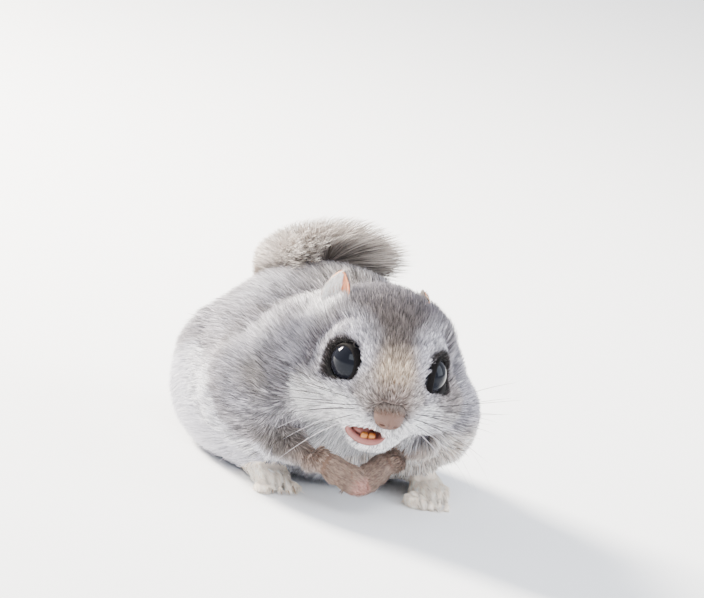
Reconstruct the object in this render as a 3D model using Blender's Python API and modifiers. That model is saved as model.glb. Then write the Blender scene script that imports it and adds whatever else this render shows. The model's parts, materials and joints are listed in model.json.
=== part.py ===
"""A Siberian flying squirrel of the Hokkaido form, crouched in its winter coat, at life size.

The outer surfaces are those of the coat. The animal faces -Y, its left side is +X, and it sits on
z = 0. Everything is worked out in millimetres and scaled to metres at the end.
"""

import math
import random

import bmesh
import bpy
from mathutils import Euler, Matrix, Vector

METRES = 0.001
GAP = 0.3
WELD = 0.002
SMOOTH_ANGLE = 50.0
FLOOR_SIDE = 300.0

# How finely the blended forms are remeshed, how long they are smoothed and what is kept
TRUNK_VOXEL = 1.5
TRUNK_ROUNDS = 12
TRUNK_FACES = 2300
HEAD_VOXEL = 0.9
HEAD_ROUNDS = 26
HEAD_FACES = 1150
HEAD_MARGIN = 2.0
FOREARM_FACES = 220
FOOT_FACES = 260
CORE_FACES = 500
CORE_VOXEL = 1.0

# The body's driving sizes, in the coat
BODY_HALF_WIDTH = 34.0
BODY_LENGTH = 94.0
BACK_HEIGHT = 56.0

# The head hangs on the point midway between the eyes
HEAD_AT = Vector((-4.6, -40.7, 40.9))
HEAD_YAW = -16.0
HEAD_PITCH = 14.0
EYE_RADIUS = 5.7
EYE_AT = Vector((10.0, 1.6, 0.3))
EYE_AIM = Vector((0.83, -0.54, 0.08))
LID_RING = 5.2
LID_WIDTH = 0.9
LID_OUT = 2.7
NOSE_AT = Vector((0.0, -13.2, -6.4))
NOSE_RADII = (4.1, 3.6, 3.7)
NOSTRIL_AT = Vector((1.7, -3.2, -1.6))
NOSTRIL_RADII = (0.95, 1.5, 0.7)
NOSTRIL_TURN = 25.0
MOUTH_AT = Vector((-3.8, -8.0, -14.0))
MOUTH_RADII = (4.9, 8.0, 2.7)
LIP_RADIUS = 0.75
LIP_MARGIN = 0.3
LIP_POINTS = 12
INCISOR_RADIUS = 0.8
INCISOR_EDGE = 0.6
UPPER_INCISORS = [(-1.9, -6.0, -10.5), (-1.9, -8.4, -11.6), (-1.9, -8.9, -13.6)]
LOWER_INCISORS = [(-3.6, -4.0, -17.5), (-3.6, -7.2, -16.6), (-3.6, -8.3, -14.6)]
TONGUE_AT = Vector((-4.0, -2.6, -14.6))
TONGUE_RADII = (2.6, 3.2, 0.9)
EAR_AT = {"left": (11.6, 18.5, 10.9), "right": (-14.5, 19.5, 6.5)}
EAR_AXIS = {"left": (0.05, 0.98, -0.1), "right": (0.0, 0.32, 0.95)}
EAR_FACING = {"left": (0.85, 0.0, 0.5), "right": (-0.75, -0.5, 0.4)}
EAR_LENGTH = 11.5
EAR_RADII = (4.8, 2.6, 7.2)
EAR_WALL = 1.1

# Limbs
FORELEG = {
    "left": [(22.0, -21.0, 19.0), (13.5, -32.0, 18.5), (4.5, -35.5, 15.0)],
    "right": [(-24.3, -23.0, 15.5), (-23.5, -32.8, 15.4), (-18.0, -37.6, 14.2)],
}
FORELEG_RADII = [7.0, 5.6, 3.9]
FINGERTIPS = {"left": (-8.5, -41.0, 7.0), "right": (-8.5, -45.5, 10.0)}
HAND_BACK = {"left": (0.2, -0.75, 0.5), "right": (-0.3, -0.8, 0.45)}
THUMB_SIDE = {"left": -1, "right": 1}
PALM_RADII = (3.9, 5.8, 2.9)
THUMB_AT = Vector((3.2, -0.5, -0.6))
THUMB_RADII = (1.2, 2.0, 1.1)
WRIST_TO_PALM = 4.4
FINGER_RADII = [1.6, 1.45, 1.05]
FINGER_SPREAD = 1.25
FINGER_DROP = 2.2
FINGER_ACROSS = (-2.4, -0.8, 0.8, 2.4)
FINGER_REACH = (8.6, 9.8, 9.6, 8.2)
FOOT_AT = {"left": (24.0, -27.0, 0.0), "right": (-21.5, -23.5, 0.0)}
FOOT_TURN = {"left": -20.0, "right": -2.0}
FOOT_LENGTH = 33.0
FOOT_HALF_WIDTH = 5.3
FOOT_HALF_HEIGHT = 4.4
TOE_RADII = (1.55, 5.4, 3.3)
TOE_SPREAD = 1.12
TOE_ACROSS = (-4.2, -2.1, 0.0, 2.1, 4.2)
CLAW_LENGTH = 2.6
CLAW_RADIUS = 0.45
CLAW_POINT = 0.15

# The edge of the folded membrane, from the hip forward and down to the wrist, on the left
FOLD_EDGE = [
    (31.0, 18.0, 29.0),
    (33.5, 5.0, 24.0),
    (34.5, -6.0, 19.5),
    (32.0, -19.0, 17.5),
    (26.0, -28.0, 16.0),
]
FOLD_RADII = [3.0, 4.2, 4.6, 4.6, 4.0]
NECK_DEPTH = 7.0
SIDES = (("left", 1), ("right", -1))

# Rings of the ellipsoids that the nodes are parted by, and of the eyes
REGION_RINGS = 10
EYE_RINGS = 9

# Colour and roughness by the start of a node's name
FUR = 0.9
LOOKS = {
    "eye": ((0.01, 0.01, 0.012), 0.08),
    "nose": ((0.42, 0.30, 0.26), 0.55),
    "hand": ((0.42, 0.37, 0.33), FUR),
    "foot": ((0.80, 0.75, 0.68), FUR),
    "haunch": ((0.78, 0.78, 0.78), FUR),
    "jaw": ((0.84, 0.82, 0.80), FUR),
    "tongue": ((0.72, 0.36, 0.33), 0.45),
    "ear": ((0.66, 0.56, 0.50), FUR),
    "tail": ((0.45, 0.41, 0.36), FUR),
    "": ((0.48, 0.46, 0.44), FUR),
}

# Tail
TAIL_ROLL = 3.0
TAIL_LENGTH = 100.0
TAIL_STEPS = 22
CORE_SHARE = 0.48
CORE_END = 0.9
LOCK_HALF_WIDTH = 6.2
LOCK_FLATNESS = 0.26
LOCK_TIP = 0.12
LOCK_RINGS = 4
LOCK_CURL = 1.3
LOCK_ROWS = 8
FAN_LOCKS = 9
FAN_HALF_WIDTH = 4.6
END_LOCKS = 3
FAN_TILT = 1.4
TAIL_AXIS = [
    (0.0, 41.0, 14.0),
    (1.0, 50.0, 17.0),
    (2.0, 53.5, 26.0),
    (3.0, 51.0, 36.0),
    (3.5, 45.0, 44.5),
    (3.5, 36.0, 51.0),
    (3.5, 25.0, 56.0),
    (3.5, 13.0, 60.0),
]


def head_matrix():
    """Carries the head's own frame, forward -Y and up +Z, to its place on the body."""
    turn = Matrix.Rotation(math.radians(HEAD_YAW), 4, "Z")
    return Matrix.Translation(HEAD_AT) @ turn @ Matrix.Rotation(math.radians(HEAD_PITCH), 4, "X")


HEAD = head_matrix()
BODY = Matrix.Identity(4)


def new_object(name, data):
    made = bpy.data.objects.new(name, data)
    bpy.context.scene.collection.objects.link(made)
    return made


def remove(*objects):
    for made in objects:
        bpy.data.objects.remove(made)


def from_bmesh(name, shape):
    mesh = bpy.data.meshes.new(name)
    shape.normal_update()
    bmesh.ops.recalc_face_normals(shape, faces=shape.faces)
    shape.to_mesh(mesh)
    shape.free()
    return new_object(name, mesh)


def ball(name, centre, radii, turn=(0, 0, 0), rings=14, frame=BODY):
    """An ellipsoid, turned by Euler degrees and placed in the frame given."""
    shape = bmesh.new()
    bmesh.ops.create_uvsphere(shape, u_segments=2 * rings, v_segments=rings, radius=1)
    angles = Euler([math.radians(a) for a in turn])
    shape.transform(frame @ Matrix.LocRotScale(Vector(centre), angles, Vector(radii)))
    return from_bmesh(name, shape)


def floor_block():
    """The space below the floor."""
    shape = bmesh.new()
    bmesh.ops.create_cube(shape, size=FLOOR_SIDE)
    shape.transform(Matrix.Translation((0, 0, -FLOOR_SIDE / 2)))
    return from_bmesh("floor", shape)


def smooth_path(points, steps):
    """Points along the Catmull-Rom curve through the given ones."""
    padded = [2 * points[0] - points[1], *points, 2 * points[-1] - points[-2]]
    found = []
    for i in range(1, len(padded) - 2):
        a, b, c, d = padded[i - 1 : i + 3]
        for k in range(steps):
            t = k / steps
            found.append(
                0.5 * (2 * b + (c - a) * t + (2 * a - 5 * b + 4 * c - d) * t**2
                       + (3 * b - a - 3 * c + d) * t**3)
            )
    return [*found, points[-1]]


def tube(name, points, radii, frame=BODY, steps=3, sides=10, closed=False):
    """A round tube through the points, with its own radius at each."""
    line = smooth_path([Vector((*p, r)) for p, r in zip(points, radii)], steps)
    curve = bpy.data.curves.new(name, "CURVE")
    curve.dimensions = "3D"
    curve.bevel_depth = 1.0
    curve.bevel_resolution = sides // 2 - 2
    curve.use_fill_caps = not closed
    spline = curve.splines.new("POLY")
    spline.use_cyclic_u = closed
    spline.points.add(len(line) - 1)
    for point, at in zip(spline.points, line):
        point.co = (*(frame @ Vector(at[:3])), 1.0)
        point.radius = at[3]
    made = new_object(name, curve)
    mesh = evaluated_mesh(made)
    remove(made)
    shape = bmesh.new()
    shape.from_mesh(mesh)
    bmesh.ops.remove_doubles(shape, verts=shape.verts, dist=1e-4)
    return from_bmesh(name, shape)


TAIL_LINE = smooth_path([Vector(p) for p in TAIL_AXIS], 4)


def evaluated_mesh(obj):
    bpy.context.view_layer.update()
    graph = bpy.context.evaluated_depsgraph_get()
    return bpy.data.meshes.new_from_object(obj.evaluated_get(graph))


def settle(obj):
    """Applies the object's modifiers."""
    mesh = evaluated_mesh(obj)
    obj.modifiers.clear()
    obj.data = mesh
    return obj


def joined(name, pieces):
    """One object that holds the pieces' meshes, which may still cross."""
    shape = bmesh.new()
    for piece in pieces:
        shape.from_mesh(piece.data)
    remove(*pieces)
    mesh = bpy.data.meshes.new(name)
    shape.to_mesh(mesh)
    shape.free()
    return new_object(name, mesh)


def fused(name, pieces, voxel, rounds, faces=None):
    """The pieces as one soft form: remeshed, its creases smoothed, then thinned to so many faces."""
    body = joined(name, pieces)
    remesh = body.modifiers.new("remesh", "REMESH")
    remesh.mode = "VOXEL"
    remesh.voxel_size = voxel
    smooth = body.modifiers.new("smooth", "SMOOTH")
    smooth.factor = 0.5
    smooth.iterations = rounds
    settle(body)
    return thinned(body, faces) if faces else body


def thinned(body, faces):
    count = sum(len(p.vertices) - 2 for p in body.data.polygons)
    thin = body.modifiers.new("thin", "DECIMATE")
    thin.ratio = min(1.0, faces / count)
    return settle(body)


def largest(obj, weld=False):
    """Keeps the largest closed surface of the object's mesh, its coincident points welded first."""
    shape = bmesh.new()
    shape.from_mesh(obj.data)
    if weld:
        bmesh.ops.remove_doubles(shape, verts=shape.verts, dist=WELD)
        bmesh.ops.dissolve_degenerate(shape, edges=shape.edges, dist=WELD)
    left = set(shape.verts)
    groups = []
    while left:
        found, edge = set(), [left.pop()]
        while edge:
            vert = edge.pop()
            found.add(vert)
            for link in vert.link_edges:
                other = link.other_vert(vert)
                if other in left:
                    left.remove(other)
                    edge.append(other)
        groups.append(found)
    if len(groups) > 1:
        groups.sort(key=lambda g: volume_of(g), reverse=True)
        for group in groups[1:]:
            bmesh.ops.delete(shape, geom=list(group), context="VERTS")
    shape.to_mesh(obj.data)
    shape.free()
    return obj


def volume_of(verts):
    faces = {f for v in verts for f in v.link_faces}
    total = 0.0
    for face in faces:
        first, *rest = [v.co for v in face.verts]
        for a, b in zip(rest, rest[1:]):
            total += first.dot(a.cross(b)) / 6
    return total


def combine(obj, operation, others, solver="EXACT"):
    """Cuts or joins the others, or keeps only what they share with the object, then clears them."""
    for other in others:
        step = obj.modifiers.new(operation.lower(), "BOOLEAN")
        step.operation = operation
        step.object = other
        step.solver = solver
    settle(obj)
    remove(*others)
    return largest(obj, weld=solver == "EXACT")


def grown_with(body, pieces):
    """Joins the pieces to the body by one union on a collection, then clears them."""
    group = bpy.data.collections.new("pieces")
    for piece in pieces:
        group.objects.link(piece)
    step = body.modifiers.new("union", "BOOLEAN")
    step.operation = "UNION"
    step.operand_type = "COLLECTION"
    step.collection = group
    step.solver = "MANIFOLD"
    settle(body)
    remove(*pieces)
    bpy.data.collections.remove(group)
    return largest(body)


def copy_of(obj, name, grow=0.0):
    """A copy of the object, grown along its normals."""
    made = new_object(name, obj.data.copy())
    if grow:
        swell = made.modifiers.new("grow", "DISPLACE")
        swell.strength = grow
        swell.mid_level = 0.0
        settle(made)
    return made


def clear_of(obj, *neighbours, solver="EXACT"):
    """Cuts the object back so that it keeps the gap to each neighbour."""
    for other in neighbours:
        combine(obj, "DIFFERENCE", [copy_of(other, "grown", GAP)], solver=solver)
    return obj


def flesh_forms():
    """The overlapping forms that the trunk, haunches and shoulders are blended from."""
    width, top = BODY_HALF_WIDTH, BACK_HEIGHT
    middle = 0.5 * top
    forms = [
        ball("belly", (0, 4, middle), (width, 0.41 * BODY_LENGTH, middle + 2)),
        ball("rump", (0, 20, middle - 2), (width - 2, 27, middle - 3)),
        ball("back", (0, 3, top - 22), (width - 7, 33, 22)),
        ball("chest", (0, -14, top - 24), (width - 1, 22, 25)),
        ball("nape", (0, -19, top - 18), (26, 20, 21)),
    ]
    for side in (-1, 1):
        forms += [
            ball("thigh", (side * 21.5, 10, 16), (16, 33.5, 17)),
            ball("flank", (side * 24, -9, 23), (17, 19.5, 17)),
            ball("hip", (side * 18.5, 21.5, 22), (17, 22, 20)),
            tube("fold", [(side * x, y, z) for x, y, z in FOLD_EDGE], FOLD_RADII),
        ]
    return forms


def head_forms():
    """The overlapping forms of the head, in the head's own frame."""
    forms = [
        ball("cranium", (0, 15, 1.0), (20.5, 19, 16.5), frame=HEAD),
        ball("brow", (0, 4.5, 1.5), (11.6, 14, 11.5), frame=HEAD),
        ball("bridge", (0, -4.0, -4.0), (8.8, 12.0, 8.4), turn=(-14, 0, 0), frame=HEAD),
        ball("chin", (-1.5, -2.0, -16.5), (10.0, 9.0, 6.0), frame=HEAD),
        ball("throat", (0, 10, -11), (20, 17, 12.5), frame=HEAD),
    ]
    for side in (-1, 1):
        forms += [
            ball("cheek", (side * 8.5, 8.5, -10.5), (16.0, 15.5, 11.0), frame=HEAD),
            ball("temple", (side * 8.0, 20, 0), (14.5, 14, 12.5), frame=HEAD),
            ball("whisker_pad", (side * 4.2, -3.6, -10.0), (8.4, 8.4, 6.0), frame=HEAD),
            ball("zygoma", (side * 6.5, 0.5, -7.5), (9.5, 9.5, 7.5), frame=HEAD),
        ]
    return forms


def region(name, centre, radii, turn=(0, 0, 0), frame=BODY, grow=0.0):
    """An ellipsoid that marks one part of the body, grown by so much."""
    return ball(name, centre, [r + grow for r in radii], turn, REGION_RINGS, frame)


def head_region(grow=0.0):
    return region("head_region", (0, -4, -3), (33, 33, 27), frame=HEAD, grow=grow)


def haunch_region(side, grow=0.0):
    return region("haunch_region", (side * 30, 14, 10), (16, 31, 21), (12, 0, 0), grow=grow)


def patagium_region(side, grow=0.0):
    return region("patagium_region", (side * 37, -6, 28), (11, 27, 15), (20, 0, 0), grow=grow)


def jaw_region(grow=0.0):
    return region("jaw_region", (-3.4, -1, -20.2), (8.4, 11.5, 6.6), frame=HEAD, grow=grow)


def part_off(whole, name, region_of, solver="EXACT"):
    """Parts the named node off the whole: what lies in the region, with the gap left round it."""
    node = copy_of(whole, name)
    combine(node, "INTERSECT", [region_of(0.0)], solver=solver)
    combine(whole, "DIFFERENCE", [region_of(GAP)], solver=solver)
    return node


def build_trunk():
    """The neck, torso, haunches and folded gliding membranes, parted from one soft form."""
    forms = flesh_forms() + head_forms()
    torso = fused("torso", forms, TRUNK_VOXEL, TRUNK_ROUNDS, TRUNK_FACES)
    combine(torso, "DIFFERENCE", [floor_block()])
    combine(torso, "DIFFERENCE", [head_region(GAP)])
    nodes = [part_off(torso, "neck", lambda grow: head_region(NECK_DEPTH + grow))]
    for label, side in SIDES:
        nodes.append(part_off(torso, f"patagium_{label}", lambda grow: patagium_region(side, grow)))
        nodes.append(part_off(torso, f"haunch_{label}", lambda grow: haunch_region(side, grow)))
    return [torso, *nodes]


def eye_frame(side):
    """At the eyeball's middle, with +Z along the way that the eye looks."""
    aim = Vector((side * EYE_AIM.x, EYE_AIM.y, EYE_AIM.z)).normalized()
    at = Vector((side * EYE_AT.x, EYE_AT.y, EYE_AT.z))
    return HEAD @ Matrix.Translation(at) @ aim.to_track_quat("Z", "Y").to_matrix().to_4x4()


def ring(name, radius, thickness, frame):
    bpy.ops.mesh.primitive_torus_add(
        major_radius=radius, minor_radius=thickness, major_segments=18, minor_segments=5
    )
    made = bpy.context.object
    made.name = name
    made.data.transform(frame)
    return made


def build_eyes():
    return [
        ball(f"eye_{label}", (0, 0, 0), (EYE_RADIUS,) * 3, rings=EYE_RINGS, frame=eye_frame(side))
        for label, side in SIDES
    ]


def build_nose():
    """The bare tip of the muzzle, with its two nostrils."""
    nose = ball("nose", NOSE_AT, NOSE_RADII, rings=8, frame=HEAD)
    pits = []
    for _, side in SIDES:
        at = NOSE_AT + Vector((side * NOSTRIL_AT.x, NOSTRIL_AT.y, NOSTRIL_AT.z))
        turn = (0, side * NOSTRIL_TURN, side * NOSTRIL_TURN)
        pits.append(ball("nostril", at, NOSTRIL_RADII, turn, rings=5, frame=HEAD))
    return combine(nose, "DIFFERENCE", pits)


def build_head(eyes, nose):
    """The head with its lids, lips and teeth, the lower jaw parted from it, and the tongue."""
    head = fused("head", flesh_forms() + head_forms(), HEAD_VOXEL, HEAD_ROUNDS)
    combine(head, "INTERSECT", [head_region(HEAD_MARGIN)])
    thinned(head, HEAD_FACES)
    combine(head, "INTERSECT", [head_region()])
    lids = [
        ring("lid", LID_RING, LID_WIDTH, eye_frame(side) @ Matrix.Translation((0, 0, LID_OUT)))
        for _, side in SIDES
    ]
    combine(head, "UNION", [*lids, lips(head)])
    combine(head, "DIFFERENCE", [ball("mouth", MOUTH_AT, MOUTH_RADII, rings=8, frame=HEAD)])
    jaw = part_off(head, "jaw", jaw_region)
    combine(head, "UNION", incisors(UPPER_INCISORS))
    combine(jaw, "UNION", incisors(LOWER_INCISORS))
    clear_of(head, *eyes, nose)
    tongue = ball("tongue", TONGUE_AT, TONGUE_RADII, rings=8, frame=HEAD)
    clear_of(tongue, head, jaw)
    return [head, jaw, tongue]


def lips(head):
    """A roll round the opening of the mouth, laid on the head's surface."""
    turn = HEAD.to_3x3()
    points = []
    for k in range(LIP_POINTS):
        angle = 2 * math.pi * k / LIP_POINTS
        x = MOUTH_AT.x + (MOUTH_RADII[0] + LIP_MARGIN) * math.cos(angle)
        z = MOUTH_AT.z + (MOUTH_RADII[2] + LIP_MARGIN) * math.sin(angle)
        start = HEAD @ Vector((x, -2 * BODY_HALF_WIDTH, z))
        _, place, _, _ = head.ray_cast(start, turn @ Vector((0, 1, 0)))
        points.append(place + turn @ Vector((0, LIP_MARGIN, 0)))
    return tube("lips", points, [LIP_RADIUS] * len(points), steps=1, sides=6, closed=True)


def incisors(line):
    """A pair of front teeth side by side along the given line."""
    teeth = []
    for side in (-1, 1):
        points = [(x + side * 0.9 * INCISOR_RADIUS, y, z) for x, y, z in line]
        radii = [INCISOR_RADIUS, INCISOR_RADIUS, INCISOR_EDGE]
        teeth.append(tube("incisor", points, radii, HEAD, steps=2, sides=6))
    return teeth


def build_ears(*neighbours):
    """A thin cup on each side, open towards its facing, cut back to the head's surface."""
    ears = []
    for label, _ in SIDES:
        turn = axes(Vector(EAR_AXIS[label]), Vector(EAR_FACING[label]))
        frame = HEAD @ Matrix.Translation(EAR_AT[label]) @ turn
        wide, deep, tall = EAR_RADII
        middle = Vector((0, 0, EAR_LENGTH - tall))
        ear = ball(f"ear_{label}", middle, EAR_RADII, rings=9, frame=frame)
        cup = (wide - EAR_WALL, deep, tall - EAR_WALL)
        hollow = ball("hollow", middle - Vector((0, EAR_WALL, 0)), cup, rings=8, frame=frame)
        combine(ear, "DIFFERENCE", [hollow])
        ears.append(clear_of(ear, *neighbours))
    return ears


def axes(along, facing):
    """A turn that carries +Z to along and -Y towards facing."""
    up = along.normalized()
    front = (facing - facing.dot(up) * up).normalized()
    across = up.cross(front)
    return Matrix((-across, -front, up)).transposed().to_4x4()


def claw(root, reach, drop, frame):
    """A curved claw from its root, reaching along -Y and down."""
    root = Vector(root)
    tip = root + Vector((0.05 * root.x, -reach, -drop))
    middle = (root + tip) / 2 + Vector((0, 0, 0.2 * CLAW_LENGTH))
    radii = [CLAW_RADIUS, 0.8 * CLAW_RADIUS, CLAW_POINT]
    return tube("claw", [root, middle, tip], radii, frame, steps=1, sides=6)


def build_hand(label, frame):
    """A hand that points along -Y, its back up: a palm, a thumb stub, four fingers and claws."""
    palm = ball(f"hand_{label}", (0, 0, 0), PALM_RADII, rings=7, frame=frame)
    thumb_at = Vector((THUMB_SIDE[label] * THUMB_AT.x, THUMB_AT.y, THUMB_AT.z))
    digits = [ball("thumb", thumb_at, THUMB_RADII, rings=5, frame=frame)]
    for across, reach in zip(FINGER_ACROSS, FINGER_REACH):
        spread = FINGER_SPREAD * across
        tip = (0.8 * spread, -reach, -FINGER_DROP)
        points = [(across, -2.5, 0.2), (spread, -0.62 * reach, 0.5), tip]
        digits.append(tube("finger", points, FINGER_RADII, frame, steps=2, sides=6))
        digits.append(claw(tip, 0.75 * CLAW_LENGTH, 0.4 * CLAW_LENGTH, frame))
    return grown_with(palm, digits)


def build_forelegs(trunk, head_nodes):
    """Forearms that come out of the shoulder fur and the two hands held together below the chin."""
    hands = []
    legs = []
    for label in ("right", "left"):
        points = FORELEG[label]
        form = tube("forearm", points, FORELEG_RADII, steps=3, sides=14)
        leg = fused(f"foreleg_{label}", [form], HEAD_VOXEL, 4, FOREARM_FACES)
        wrist = Vector(points[-1])
        along = (Vector(FINGERTIPS[label]) - wrist).normalized()
        back = Vector(HAND_BACK[label])
        turn = axes(back - back.dot(along) * along, along)
        hand = build_hand(label, Matrix.Translation(wrist + WRIST_TO_PALM * along) @ turn)
        clear_of(leg, hand, *trunk, *head_nodes)
        clear_of(hand, *hands)
        legs.append(leg)
        hands.append(hand)
    return [*legs, *hands]


def build_feet(trunk):
    """The hind feet, flat on the floor, their furred toes and claws forward."""
    feet = []
    half = FOOT_LENGTH / 2
    middle = (0, half - 1, 0.8 * FOOT_HALF_HEIGHT)
    for label, _ in SIDES:
        turn = Matrix.Rotation(math.radians(FOOT_TURN[label]), 4, "Z")
        frame = Matrix.Translation(FOOT_AT[label]) @ turn
        sole_radii = (FOOT_HALF_WIDTH, half - 2, FOOT_HALF_HEIGHT)
        forms = [ball("sole", middle, sole_radii, frame=frame)]
        claws = []
        for across in TOE_ACROSS:
            front = 0.12 * across**2
            spread = TOE_SPREAD * across
            forms.append(ball("toe", (spread, front + 3.4, 3.2), TOE_RADII, frame=frame))
            root = (spread, front - 1.0, 2.0)
            claws.append(claw(root, CLAW_LENGTH, 0.6 * CLAW_LENGTH, frame))
        foot = fused(f"foot_{label}", forms, HEAD_VOXEL / 2, 2, FOOT_FACES)
        grown_with(foot, claws)
        combine(foot, "DIFFERENCE", [floor_block()])
        feet.append(clear_of(foot, *trunk))
    return feet


def tail_core():
    """The tail's inner body, a share of the breadth and depth out to the hair's tips."""
    forms = []
    for step in range(TAIL_STEPS + 1):
        t = CORE_END * step / TAIL_STEPS
        share = CORE_SHARE * (1 - 0.45 * smooth_step(t, 0.6, CORE_END))
        radii = (share * tail_half_width(t), share * tail_half_depth(t), 3.8)
        forms.append(ball("core", (0, 0, 0), radii, rings=8, frame=tail_frame(t)))
    return fused("tail_tip", forms, CORE_VOXEL, 4, CORE_FACES)


def tail_half_width(t):
    return 5.5 + 13.0 * smooth_step(t, 0.32, 0.86)


def tail_half_depth(t):
    return 5.0 + 5.5 * smooth_step(t, 0.5, 0.9)


def smooth_step(value, low, high):
    share = min(1.0, max(0.0, (value - low) / (high - low)))
    return share * share * (3 - 2 * share)


def tail_frame(t):
    """X across the tail, Y out of its upper face, Z along it, at a share t of the way to its end."""
    line = TAIL_LINE
    place = min(max(t, 0.0), 1.0) * (len(line) - 1)
    low = min(int(place), len(line) - 2)
    along = (line[low + 1] - line[low]).normalized()
    at = line[low].lerp(line[low + 1], place - low) + along * max(0.0, t - 1) * TAIL_LENGTH
    across = Vector((1, 0, math.tan(math.radians(TAIL_ROLL * min(t, 1.0)))))
    across = (across - across.dot(along) * along).normalized()
    turn = Matrix((across, along.cross(across), along)).transposed().to_4x4()
    return Matrix.Translation(at) @ turn


def lock(start, reach, angle, spread, width):
    """One flat tapered lock: from the axis at start it leans tipward by reach to the outline.

    The angle is round the tail from its left side, and the spread is the share of the outline's
    breadth and depth that the tip comes out to.
    """
    radial = Vector((math.cos(angle), math.sin(angle), 0))
    places = []
    for ring in range(LOCK_RINGS):
        share = ring / (LOCK_RINGS - 1)
        t = start + reach * share**LOCK_CURL
        out = spread * math.sin(share * math.pi / 2) ** 0.9
        side = Vector((radial.x * tail_half_width(t), radial.y * tail_half_depth(t), 0))
        places.append((tail_frame(t) @ (side * out), tail_frame(t).to_3x3()))
    shape = bmesh.new()
    loops = []
    for ring, (at, turn) in enumerate(places):
        share = ring / (LOCK_RINGS - 1)
        before, after = places[max(ring - 1, 0)][0], places[min(ring + 1, LOCK_RINGS - 1)][0]
        along = (after - before).normalized()
        tilt = FAN_TILT * smooth_step(start, 0.8, 1.0)
        flat = turn @ Vector((0.45 * radial.x, radial.y + 0.2, tilt))
        across = along.cross(flat).normalized()
        up = across.cross(along).normalized()
        half = width * (LOCK_TIP + (1 - LOCK_TIP) * (1 - share**2.2))
        frame = Matrix((across * half, up * half * LOCK_FLATNESS, along)).transposed().to_4x4()
        made = bmesh.ops.create_circle(
            shape,
            cap_ends=ring in (0, LOCK_RINGS - 1),
            segments=4,
            radius=1,
            matrix=Matrix.Translation(at) @ frame,
        )
        loops.append({edge for vert in made["verts"] for edge in vert.link_edges})
    for first, second in zip(loops, loops[1:]):
        bmesh.ops.bridge_loops(shape, edges=list(first | second))
    return from_bmesh("lock", shape)


def tail_locks():
    """The tail's locks: rows along both sides and the upper face, then the fan at the end."""
    chance = random.Random(7)
    locks = []
    for row in range(LOCK_ROWS):
        start = 0.14 + 0.72 * row / (LOCK_ROWS - 1)
        reach = 0.22 - 0.10 * smooth_step(start, 0.4, 0.9)
        width = LOCK_HALF_WIDTH * (0.6 + 0.4 * smooth_step(start, 0.0, 0.6))
        lift = -6 if row % 2 else 24
        for turn in (lift, 180 - lift):
            angle = math.radians(turn + chance.uniform(-6, 6))
            nudge = chance.uniform(-0.01, 0.01)
            locks.append(lock(start + nudge, reach, angle, chance.uniform(0.92, 1.0), width))
        if row % 2:
            angle = math.radians(90 + chance.uniform(-15, 15))
            locks.append(lock(start, 1.1 * reach, angle, 0.8, 1.1 * width))
    for petal in range(FAN_LOCKS):
        angle = 2 * math.pi * (petal + chance.uniform(-0.2, 0.2)) / FAN_LOCKS
        start = 0.89 + chance.uniform(-0.02, 0.02)
        reach = chance.uniform(0.05, 0.09)
        locks.append(lock(start, reach, angle, chance.uniform(0.9, 1.0), FAN_HALF_WIDTH))
    for petal in range(END_LOCKS):
        angle = 2 * math.pi * (petal + 0.5) / END_LOCKS
        locks.append(lock(0.9, 0.13, angle, 0.55, FAN_HALF_WIDTH))
    return locks


def build_tail(trunk):
    """The tail's core with its locks joined on, in three lengths."""
    whole = grown_with(tail_core(), tail_locks())
    root = part_off(whole, "tail_root", tail_root_region, "MANIFOLD")
    middle = part_off(whole, "tail_middle", tail_middle_region, "MANIFOLD")
    return [clear_of(part, *trunk, solver="MANIFOLD") for part in (whole, middle, root)]


def tail_root_region(grow):
    return region("tail_root_region", (0, 54, 16), (40, 30, 22), grow=grow)


def tail_middle_region(grow):
    return region("tail_middle_region", (0, 62, 44), (40, 29, 26), grow=grow)


def paint(obj):
    """The node's colour and finish."""
    colour, roughness = next(look for start, look in LOOKS.items() if obj.name.startswith(start))
    material = bpy.data.materials.new(obj.name)
    material.use_nodes = True
    shader = material.node_tree.nodes["Principled BSDF"]
    shader.inputs["Base Color"].default_value = (*colour, 1)
    shader.inputs["Roughness"].default_value = roughness
    shader.inputs["Metallic"].default_value = 0.0
    obj.data.materials.clear()
    obj.data.materials.append(material)
    obj.data.shade_smooth()
    obj.data.set_sharp_from_angle(angle=math.radians(SMOOTH_ANGLE))


def centre_on_origin(nodes):
    """Puts the middle of the whole's footprint at the origin."""
    points = [v.co for node in nodes for v in node.data.vertices]
    low = [min(p[i] for p in points) for i in range(2)]
    high = [max(p[i] for p in points) for i in range(2)]
    shift = Matrix.Translation((-(low[0] + high[0]) / 2, -(low[1] + high[1]) / 2, 0))
    for node in nodes:
        node.data.transform(Matrix.Scale(METRES, 4) @ shift)


def main():
    for obj in list(bpy.data.objects):
        bpy.data.objects.remove(obj)
    eyes = build_eyes()
    nose = build_nose()
    head, jaw, tongue = build_head(eyes, nose)
    trunk = build_trunk()
    ears = build_ears(head, *trunk[:2])
    forelegs = build_forelegs(trunk, [head, jaw])
    feet = build_feet(trunk)
    tail = build_tail(trunk)
    nodes = [*eyes, nose, head, jaw, tongue, *ears, *trunk, *forelegs, *feet, *tail]
    collection = bpy.data.collections.new("flying_squirrel")
    bpy.context.scene.collection.children.link(collection)
    for node in nodes:
        bpy.context.scene.collection.objects.unlink(node)
        collection.objects.link(node)
        paint(node)
    centre_on_origin(nodes)


if __name__ == "__main__":
    main()
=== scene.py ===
"""The flying squirrel's skin, coat, face, claws and whiskers, dressed over its solids.

Lengths are millimetres in the animal's own frame: it faces -Y, its left side is +X and the floor is
z = 0. The head has a frame of its own, forward -Y and up +Z. to_scene() carries both to metres.
"""

import json
import math

import bmesh
import bpy
import numpy as np
from mathutils import Matrix, Vector
from mathutils.bvhtree import BVHTree
from mathutils.geometry import barycentric_transform
from mathutils.kdtree import KDTree

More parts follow.
